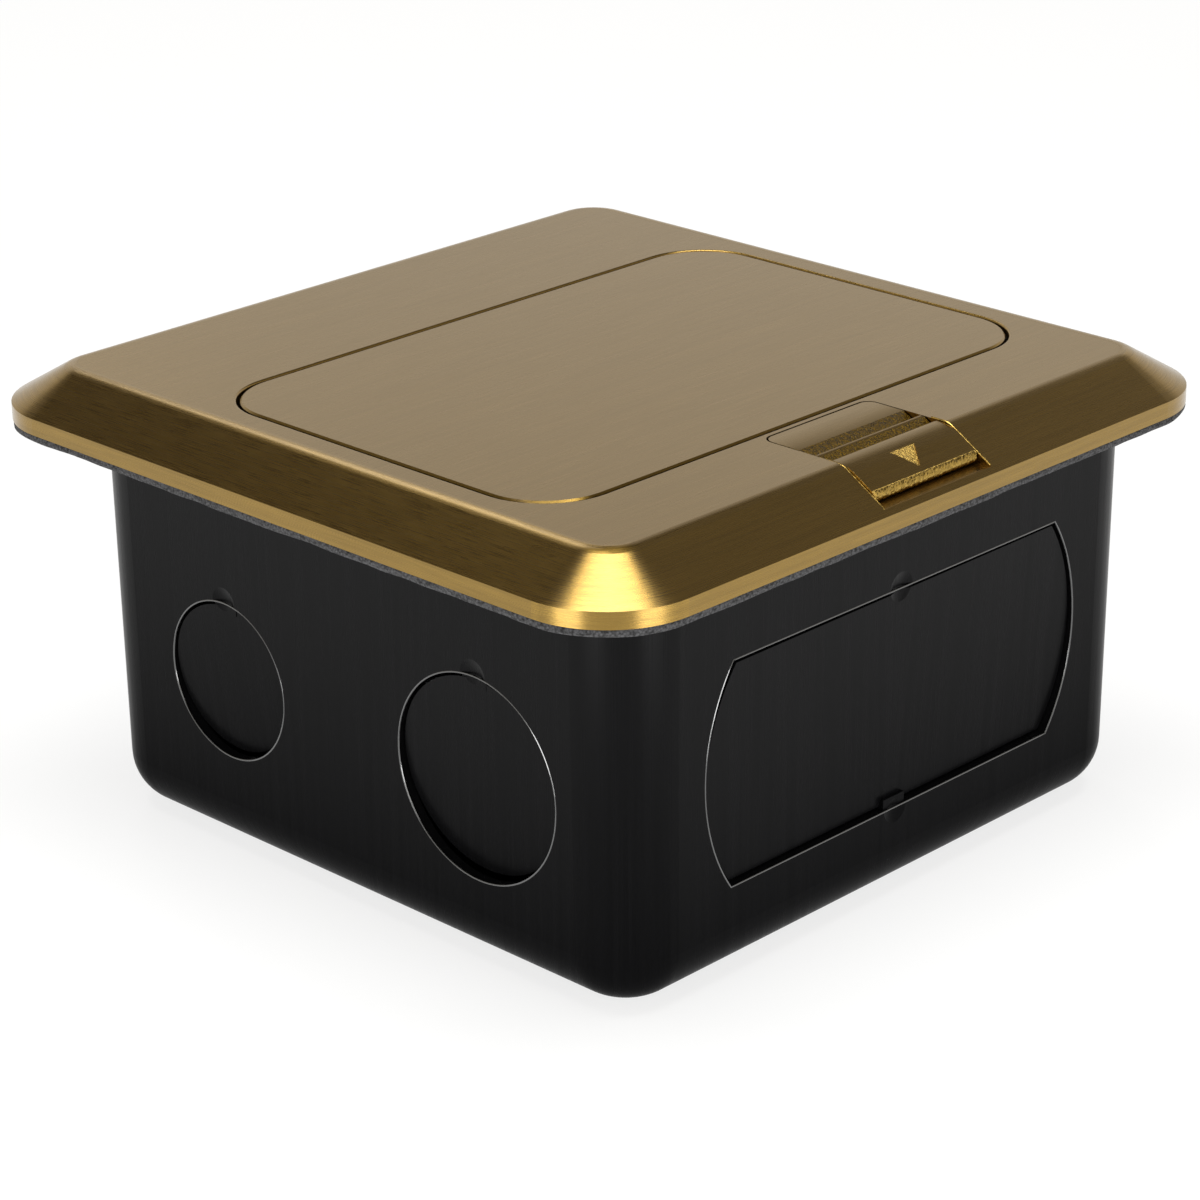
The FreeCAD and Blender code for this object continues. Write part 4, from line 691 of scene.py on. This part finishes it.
class FLOORBOX_OT_gasket(bpy.types.Operator):
    """Foam gasket with the uneven, rounded edge of a die cut"""
    bl_idname = "floorbox.gasket"
    bl_label = "Gasket"

    def execute(self, context):
        detail = context.scene.floorbox_detail
        low, high = GASKET_LOW.z, GASKET_HIGH.z
        outer = ring_points(PLATE_HALF, PLATE_CORNER, detail.gasket_step)
        inner = ring_points(BOX_HIGH.x - 1.5 * MM, BOX_CORNER, detail.gasket_step, BOX_MIDDLE)
        count = len(outer)
        inner = [inner[round(i * len(inner) / count) % len(inner)][0] for i in range(count)]
        work = bmesh.new()
        rings = []
        for way_out, share in GASKET_PROFILE:
            ring = []
            for spot, out in outer:
                # Waves about 4 mm long along the edge; the underside also sags in longer ones
                wave = mnoise.noise(Vector((spot.x, spot.y, share * 0.004)) * 260)
                sag = mnoise.noise(Vector((spot.x, spot.y, 3.0)) * 90) * 0.1 * MM * (1 - share)
                z = low + (high - low) * share + (sag if share < 0.3 else 0.0)
                reach = (way_out - 0.1) * MM + wave * detail.gasket_wave
                ring.append(work.verts.new(spot + out * reach + Vector((0, 0, z))))
            rings.append(ring)
        inner_low, inner_high = ([work.verts.new(spot + Vector((0, 0, z))) for spot in inner]
                                 for z in (low, high))
        loops = [inner_low, *rings, inner_high]
        for ring_a, ring_b in zip(loops, loops[1:] + loops[:1]):
            for i in range(count):
                j = (i + 1) % count
                work.faces.new((ring_a[i], ring_a[j], ring_b[j], ring_b[i]))
        bmesh.ops.remove_doubles(work, verts=work.verts, dist=1e-7)
        bmesh.ops.recalc_face_normals(work, faces=work.faces)
        mesh = bpy.data.meshes.new("gasket_edge")
        work.to_mesh(mesh)
        work.free()
        finish_mesh(mesh, 50)
        mesh.materials.append(FINISHES["foam"])
        piece = link("gasket_die_cut", mesh)
        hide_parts("cover_gasket")
        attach(piece, "fixed_box")
        return {"FINISHED"}


class FLOORBOX_OT_latch(bpy.types.Operator):
    """Latch slide with its engraved arrow and sawn grooves"""
    bl_idname = "floorbox.latch"
    bl_label = "Latch slide"

    def execute(self, context):
        detail = context.scene.floorbox_detail
        work = merged_copy("latch_slide")
        base_y = SLIDE_LOW.y + detail.mark_offset
        tip_y = base_y - detail.mark_length
        above = Vector((0, (base_y + tip_y) / 2, PLATE_HIGH.z + 5 * MM))
        spot, slant = BVHTree.FromBMesh(work).ray_cast(above, Vector((0, 0, -1)))[:2]
        bmesh.ops.dissolve_limit(work, angle_limit=math.radians(0.5), verts=work.verts,
                                 edges=work.edges)
        corners = [e for e in work.edges if all(
            v.co.y < SLIDE_LOW.y + 0.01 * MM and abs(v.co.x) > SLIDE_HIGH.x - 0.01 * MM
            for v in e.verts)]
        bmesh.ops.bevel(work, geom=corners, offset=detail.slide_corner, segments=5,
                        profile=0.5, affect="EDGES", clamp_overlap=True)
        mesh = bpy.data.meshes.new("latch_slide_engraved")
        work.to_mesh(mesh)
        work.free()
        piece = link("latch_slide_engraved", mesh)
        cutter = self.mark(base_y, tip_y, detail.mark_half, detail.mark_depth, spot, slant)
        modifier = piece.modifiers.new("engrave", "BOOLEAN")
        modifier.operation = "DIFFERENCE"
        modifier.solver = "EXACT"
        modifier.object = cutter
        edge = piece.modifiers.new("edges", "BEVEL")
        edge.width = detail.slide_edge
        edge.segments = 2
        edge.limit_method = "ANGLE"
        edge.angle_limit = math.radians(38)
        graph = bpy.context.evaluated_depsgraph_get()
        mesh = bpy.data.meshes.new_from_object(piece.evaluated_get(graph), depsgraph=graph)
        piece.modifiers.clear()
        bpy.data.objects.remove(cutter)
        piece.data = mesh
        mesh.materials.clear()
        for finish in ("cover", "groove", "cut"):
            mesh.materials.append(FINISHES[finish])
        for face in mesh.polygons:
            centre, normal = face.center, face.normal
            below = (spot - centre).dot(slant)
            end = normal.y < END_SLOPE and centre.y < SLIDE_LOW.y + 0.9 * MM
            # Faces of the finger grooves, which take the darker brass as painted shade
            groove = (GROOVES[0] < centre.y < GROOVES[1]
                      and 0.1 * MM < SLIDE_HIGH.z - centre.z < 1.8 * MM
                      and abs(normal.x) < 0.3 and normal.z > 0.05)
            mark = (normal.dot(slant) > 0.999
                    and abs(below - detail.mark_depth) < detail.mark_depth / 4)
            face.material_index = 2 if end or mark else 1 if groove else 0
        finish_mesh(mesh, 30)
        weigh_normals(piece)
        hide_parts("latch_slide")
        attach(piece, "latch")
        grain = self.sawn_end(mesh, detail.end_grain)
        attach(grain, "latch")
        return {"FINISHED"}

    @staticmethod
    def sawn_end(mesh, height):
        """Coarse facets standing proud of the slide's end, as the saw left it."""
        work = bmesh.new()
        work.from_mesh(mesh)
        surface = BVHTree.FromBMesh(work)
        levels = [v.co.z for f in work.faces if f.material_index == 2 and f.normal.y < END_SLOPE
                  for v in f.verts]
        low, high = min(levels), max(levels)
        work.free()
        grain = bmesh.new()
        across, up = 96, 10
        half = SLIDE_HIGH.x - 0.25 * MM
        rows = []
        for j in range(up + 1):
            row = []
            for i in range(across + 1):
                ray = Vector((-half + 2 * half * i / across, SLIDE_LOW.y - 5 * MM,
                              low + (high - low) * j / up))
                spot, slant = surface.ray_cast(ray, Vector((0, 1, 0)))[:2]
                if spot is None or spot.y > SLIDE_LOW.y + 1.5 * MM:
                    row.append(None)
                    continue
                # Coarse facets 0.42 mm wide with finer ones of 0.2 mm; the rim sinks in
                size = mnoise.noise(ray / (0.42 * MM)) + 0.6 * mnoise.noise(ray / (0.2 * MM))
                rim = i in (0, across) or j in (0, up)
                lift = -0.03 * MM if rim else height * (0.4 + 0.6 * size)
                row.append(grain.verts.new(spot + slant * lift))
            rows.append(row)
        for j in range(up):
            for i in range(across):
                a, b, c, d = rows[j][i], rows[j][i + 1], rows[j + 1][i + 1], rows[j + 1][i]
                for corners in ((a, b, c), (a, c, d)):
                    if None not in corners:
                        grain.faces.new(corners)
        # Closed behind, inside the slide, so that the piece is a solid skin
        rim = [e for e in grain.edges if e.is_boundary]
        back = {}
        for edge in rim:
            for vert in edge.verts:
                if vert not in back:
                    back[vert] = grain.verts.new(vert.co + Vector((0, 0.3 * MM, 0)))
            a, b = edge.verts
            grain.faces.new((a, b, back[b], back[a]))
        bmesh.ops.holes_fill(grain, edges=[e for e in grain.edges if e.is_boundary])
        bmesh.ops.recalc_face_normals(grain, faces=grain.faces)
        result = bpy.data.meshes.new("slide_end_grain")
        grain.to_mesh(result)
        grain.free()
        result.materials.append(FINISHES["bright"])
        return link("slide_end_grain", result)

    @staticmethod
    def mark(base_y, tip_y, half, depth, spot, slant):
        """Triangular cutter whose floor lies parallel to the slide's slope."""
        work = bmesh.new()
        low = []
        top = []
        for x, y in ((-half, base_y), (half, base_y), (0, tip_y)):
            z = spot.z - (y - spot.y) * slant.y / slant.z
            low.append(work.verts.new((x, y, z - depth / slant.z)))
            top.append(work.verts.new((x, y, z + 1 * MM)))
        work.faces.new(low)
        work.faces.new(top)
        for i in range(3):
            j = (i + 1) % 3
            work.faces.new((low[i], low[j], top[j], top[i]))
        bmesh.ops.recalc_face_normals(work, faces=work.faces)
        mesh = bpy.data.meshes.new("mark_cutter")
        work.to_mesh(mesh)
        work.free()
        return link("mark_cutter", mesh)


class FLOORBOX_OT_pocket_edges(bpy.types.Operator):
    """Thin polished burr along both sides of the latch pocket"""
    bl_idname = "floorbox.pocket_edges"
    bl_label = "Pocket edges"

    def execute(self, context):
        radius = context.scene.floorbox_detail.burr_radius
        work = merged_copy("cover_plate")
        surface = BVHTree.FromBMesh(work)
        work.free()
        wall = SLIDE_HIGH.x + 0.2 * MM
        first_y, last_y = SLIDE_HIGH.y - 10.5 * MM, SLIDE_LOW.y - 1.75 * MM
        paths = []
        for side in (-1, 1):
            path = []
            for i in range(25):
                y = first_y + (last_y - first_y) * i / 24
                above = Vector((side * (wall + 0.1 * MM), y, PLATE_HIGH.z + 5 * MM))
                z = surface.ray_cast(above, Vector((0, 0, -1)))[0].z
                # Proud of the right edge, where it glints, and just under the left one
                path.append((side * wall, y, z + side * radius * 0.8))
            paths.append(path)
        piece = wire_piece("pocket_edges", paths, wire_tree(), radius, 10, "bright")
        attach(piece, "fixed_box")
        return {"FINISHED"}


class FLOORBOX_OT_springs(bpy.types.Operator):
    """Pop-up springs and the latch spring, wound from round wire"""
    bl_idname = "floorbox.springs"
    bl_label = "Springs"

    def execute(self, context):
        detail = context.scene.floorbox_detail
        tree = wire_tree()
        for side, name in ((1, "popup_spring_right"), (-1, "popup_spring_left")):
            path = self.torsion_path(name, side, detail.spring_wire)
            piece = wire_piece(name + "_wire", [path], tree, detail.spring_wire, 12, "wire")
            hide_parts(name)
            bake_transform(piece)
        low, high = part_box("latch_spring")
        wire = detail.latch_wire
        radius = (high.x - low.x) / 2 - wire
        centre_z = (low.z + high.z) / 2
        turns, turn_steps = 5.5, 28
        steps = int(turns * turn_steps)
        path = []
        for i in range(steps + 1):
            angle = i / steps * turns * 2 * math.pi
            y = low.y + wire + (high.y - low.y - 2 * wire) * i / steps
            path.append((radius * math.cos(angle), y, centre_z + radius * math.sin(angle)))
        piece = wire_piece("latch_spring_wire", [path], tree, wire, 10, "wire")
        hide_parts("latch_spring")
        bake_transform(piece)
        return {"FINISHED"}

    @staticmethod
    def torsion_path(name, side, wire):
        """Coil round the hinge pin with one leg down behind it and one forward."""
        low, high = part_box(name)
        coil, pitch, turns, turn_steps = 2.3 * MM, 0.8 * MM, 2.25, 40
        leg_down, leg_front = 7.0 * MM, 13.0 * MM
        slope = side * pitch / (2 * math.pi) / coil
        first = low.x + wire if side > 0 else high.x - wire
        start_x = first + slope * leg_down
        points = []
        for i in range(9):
            left = leg_down * (1 - i / 8)
            points.append((start_x - slope * left, HINGE.y + coil, HINGE.z - left))
        steps = int(turns * turn_steps)
        for i in range(1, steps):
            angle = i / steps * turns * 2 * math.pi
            points.append((start_x + side * pitch * turns * i / steps,
                           HINGE.y + coil * math.cos(angle), HINGE.z + coil * math.sin(angle)))
        end_x = start_x + side * pitch * turns
        for i in range(13):
            gone = leg_front * i / 12
            points.append((end_x + slope * gone, HINGE.y - gone, HINGE.z + coil))
        return points


class FLOORBOX_OT_screws(bpy.types.Operator):
    """Cross-head screws with threads on the seats of the plain ones"""
    bl_idname = "floorbox.screws"
    bl_label = "Screws"

    def execute(self, context):
        tree = screw_tree()
        # CAD node, body, way the heads face, then in mm head radius, head height and core
        # radius, and whether the heads are countersunk
        for node, body, facing, head, height, core, sunk in (
                ("cover_screws", "fixed_box", (0, 0, 1), 3.1, 1.7, 1.75, True),
                ("frame_screws", "fixed_box", (0, 0, -1), 2.8, 1.9, 1.5, False),
                ("lid_screws", "pop_up_lid", (0, 0, -1), 2.9, 1.6, 1.25, False),
                ("latch_screws", "latch", (0, 0, -1), 1.9, 1.2, 1.0, False)):
            piece = screws_from_node(node, facing, head * MM, height * MM, core * MM, tree, sunk)
            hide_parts(node)
            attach(piece, body)
        return {"FINISHED"}


def wall_path(side, along, up, outline, sink):
    """Outline laid on a wall of the back box and sunk into it a little. Side is 0 for the
    front, 1 right, 2 back and 3 left; outline is offsets along and up the wall."""
    turn = Matrix.Rotation(math.radians(90 * side), 3, "Z")
    path = []
    for step_along, step_up in outline:
        z = up + step_up
        half = BOX_HIGH.x - (BOX_HIGH.z - z) * math.tan(DRAFT) - sink
        spot = turn @ Vector((along + step_along, -half, 0))
        path.append((spot.x, spot.y + BOX_MIDDLE, z))
    return path


def circle(radius, steps=96):
    """Offsets round a circle."""
    angles = [2 * math.pi * i / steps for i in range(steps)]
    return [(radius * math.cos(a), radius * math.sin(a)) for a in angles]


def bulged_rectangle(half, bulge, height, straight_steps=40, arc_steps=24):
    """Offsets round a rectangle whose two ends swell out in arcs."""
    radius = (height ** 2 + bulge ** 2) / (2 * bulge)
    sweep = math.asin(height / radius)
    outline = []
    for sign in (1, -1):
        for i in range(straight_steps):
            outline.append((sign * (2 * half * i / straight_steps - half), -sign * height))
        for i in range(arc_steps):
            angle = sign * (2 * sweep * i / arc_steps - sweep)
            outline.append((sign * (half + bulge - radius + radius * math.cos(angle)),
                            radius * math.sin(angle)))
    return outline


class FLOORBOX_OT_knockout_lips(bpy.types.Operator):
    """Rolled, paint-filled edges round each knockout"""
    bl_idname = "floorbox.knockout_lips"
    bl_label = "Knockout edges"

    def execute(self, context):
        radius = context.scene.floorbox_detail.lip_radius
        sink = radius * 0.55
        paths = []
        for side, sign in ((1, 1), (3, -1)):
            for size, y, drop in ROUND_KNOCKOUTS:
                paths.append(wall_path(side, sign * (y * MM - BOX_MIDDLE),
                                       GASKET_HIGH.z - drop * MM, circle(size * MM), sink))
        *sizes, drop = (size * MM for size in WIDE_KNOCKOUT)
        for side in (0, 2):
            paths.append(wall_path(side, 0.0, GASKET_HIGH.z - drop, bulged_rectangle(*sizes), sink))
        piece = wire_piece("knockout_edges", paths, wire_tree(), radius, 8, "edge", closed=True)
        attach(piece, "fixed_box")
        return {"FINISHED"}


# ---------------------------------------------------------------- stage
CAMERA_AT = Vector((-0.33897, -0.33076, 0.22174))
CAMERA_RIGHT = Vector((0.6957921, -0.71817105, -0.01018348))
CAMERA_UP = Vector((0.27862443, 0.25681991, 0.92542529))
CAMERA_FORWARD = Vector((0.66199832, 0.64674097, -0.37879327))


class FLOORBOX_OT_stage(bpy.types.Operator):
    """Pale floor, soft studio light and the camera"""
    bl_idname = "floorbox.stage"
    bl_label = "Stage"

    def execute(self, context):
        stage = context.scene.floorbox_stage
        self.camera(context, stage)
        self.floor(stage)
        self.sky(context, stage)
        self.lamps()
        context.scene.view_settings.view_transform = "Standard"
        return {"FINISHED"}

    @staticmethod
    def camera(context, stage):
        data = bpy.data.cameras.new("camera")
        data.lens = stage.lens
        data.sensor_width = 36.0
        data.clip_start = 0.01
        data.clip_end = 100.0
        camera = bpy.data.objects.new("camera", data)
        context.scene.collection.objects.link(camera)
        rows = Matrix((CAMERA_RIGHT, CAMERA_UP, -CAMERA_FORWARD)).transposed()
        camera.matrix_world = Matrix.Translation(CAMERA_AT) @ rows.to_4x4()
        context.scene.camera = camera

    @staticmethod
    def floor(stage):
        half = stage.floor_size / 2
        mesh = bpy.data.meshes.new("floor")
        mesh.from_pydata([(-half, -half, 0), (half, -half, 0), (half, half, 0), (-half, half, 0)],
                         [], [(0, 1, 2, 3)])
        material = bpy.data.materials.new("pale_floor")
        material.use_nodes = True
        tree = material.node_tree
        tree.nodes.clear()
        # Seen by the camera or in a mirror it is the pale background too, but for a share of
        # plain matt floor that takes the object's shadow
        matt = add(tree, "ShaderNodeBsdfDiffuse", {"Color": linear(stage.floor_colour)})
        glow = add(tree, "ShaderNodeEmission", {"Color": (1, 1, 1, 1), "Strength": 1.0})
        ray = add(tree, "ShaderNodeLightPath").outputs
        seen = ray["Is Camera Ray"]
        for kind in ("Is Glossy Ray", "Is Transmission Ray"):
            seen = add(tree, "ShaderNodeMath", {0: seen, 1: ray[kind]}, operation="MAXIMUM")
        share = add(tree, "ShaderNodeMath", {0: seen, 1: 0.78}, operation="MULTIPLY")
        mix = add(tree, "ShaderNodeMixShader", {0: share, 1: matt, 2: glow})
        add(tree, "ShaderNodeOutputMaterial", {"Surface": mix})
        mesh.materials.append(material)
        link("floor", mesh)

    @staticmethod
    def sky(context, stage):
        """Studio walls: pale low down, dark above them and a bright ceiling."""
        world = bpy.data.worlds.new("studio")
        world.use_nodes = True
        tree = world.node_tree
        tree.nodes.clear()
        way = add(tree, "ShaderNodeTexCoord").outputs["Generated"]
        height = add(tree, "ShaderNodeSeparateXYZ", {0: way}).outputs["Z"]
        bands = add(tree, "ShaderNodeValToRGB", {0: height})
        elements = bands.color_ramp.elements
        stops = ((0.0, stage.low_sky), (0.45, stage.low_sky), (0.58, stage.mid_sky),
                 (0.88, stage.mid_sky), (0.95, stage.high_sky), (1.0, stage.high_sky))
        while len(elements) < len(stops):
            elements.new(0.5)
        for element, (place, code) in zip(elements, stops):
            element.position = place
            element.color = linear(code)
        light = add(tree, "ShaderNodeBackground", {"Color": bands, "Strength": 1.0})
        add(tree, "ShaderNodeOutputWorld", {"Surface": light})
        context.scene.world = world

    @staticmethod
    def lamps():
        # Name, place and size in metres, power in watts; each one faces the foot of the object
        lamps = (
            ("left_softbox", (-0.85, 0.0, 0.55), 0.45, 0.90, 1.9),
            ("right_softbox", (0.0, -0.85, 0.55), 0.45, 0.90, 1.9),
            ("rear_softbox", (0.39, 0.73, 0.77), 0.30, 0.30, 0.85),
            ("far_softbox", (0.80, -0.03, 0.90), 0.60, 0.60, 0.19),
            ("top_softbox", (-0.06, -0.06, 1.10), 0.90, 0.36, 10.8),
            ("left_card", (-0.20, -0.050, 0.025), 0.080, 0.050, 0.080),
            ("right_card", (-0.050, -0.20, 0.025), 0.080, 0.050, 0.080),
        )
        for name, place, width, height, power in lamps:
            data = bpy.data.lights.new(name, "AREA")
            data.shape = "RECTANGLE"
            data.size = width
            data.size_y = height
            data.energy = power
            lamp = bpy.data.objects.new(name, data)
            bpy.context.scene.collection.objects.link(lamp)
            lamp.location = place
            lamp.visible_camera = False
            aim = Vector((0, 0, 0.03)) - Vector(place)
            lamp.rotation_mode = "QUATERNION"
            lamp.rotation_quaternion = aim.to_track_quat("-Z", "Y")


class FLOORBOX_PT_panel(bpy.types.Panel):
    """Lists the steps and their values"""
    bl_idname = "FLOORBOX_PT_panel"
    bl_label = "Floor box"
    bl_space_type = "VIEW_3D"
    bl_region_type = "UI"
    bl_category = "Floor box"

    def draw(self, context):
        for step in STEPS:
            self.layout.operator(step.bl_idname)
        for group in ("floorbox_finish", "floorbox_detail", "floorbox_stage"):
            values = getattr(context.scene, group)
            box = self.layout.box()
            for name in values.__annotations__:
                box.prop(values, name)


GROUPS = (("floorbox_finish", FloorBoxFinish), ("floorbox_detail", FloorBoxDetail),
          ("floorbox_stage", FloorBoxStage))
STEPS = (FLOORBOX_OT_stage, FLOORBOX_OT_finishes, FLOORBOX_OT_gasket, FLOORBOX_OT_latch,
         FLOORBOX_OT_pocket_edges, FLOORBOX_OT_springs, FLOORBOX_OT_screws,
         FLOORBOX_OT_knockout_lips)


def register():
    for name, group in GROUPS:
        bpy.utils.register_class(group)
        setattr(bpy.types.Scene, name, bpy.props.PointerProperty(type=group))
    for step in STEPS:
        bpy.utils.register_class(step)
    bpy.utils.register_class(FLOORBOX_PT_panel)


def unregister():
    bpy.utils.unregister_class(FLOORBOX_PT_panel)
    for step in reversed(STEPS):
        bpy.utils.unregister_class(step)
    for name, group in reversed(GROUPS):
        delattr(bpy.types.Scene, name)
        bpy.utils.unregister_class(group)


def main():
    for default in list(bpy.data.objects):
        if default.name in ("Cube", "Light", "Camera"):
            bpy.data.objects.remove(default)
    register()
    bpy.ops.floorbox.stage()
    bpy.ops.floorbox.finishes()
    bpy.ops.floorbox.gasket()
    bpy.ops.floorbox.latch()
    bpy.ops.floorbox.pocket_edges()
    bpy.ops.floorbox.springs()
    bpy.ops.floorbox.screws()
    bpy.ops.floorbox.knockout_lips()


if __name__ == "__main__":
    main()
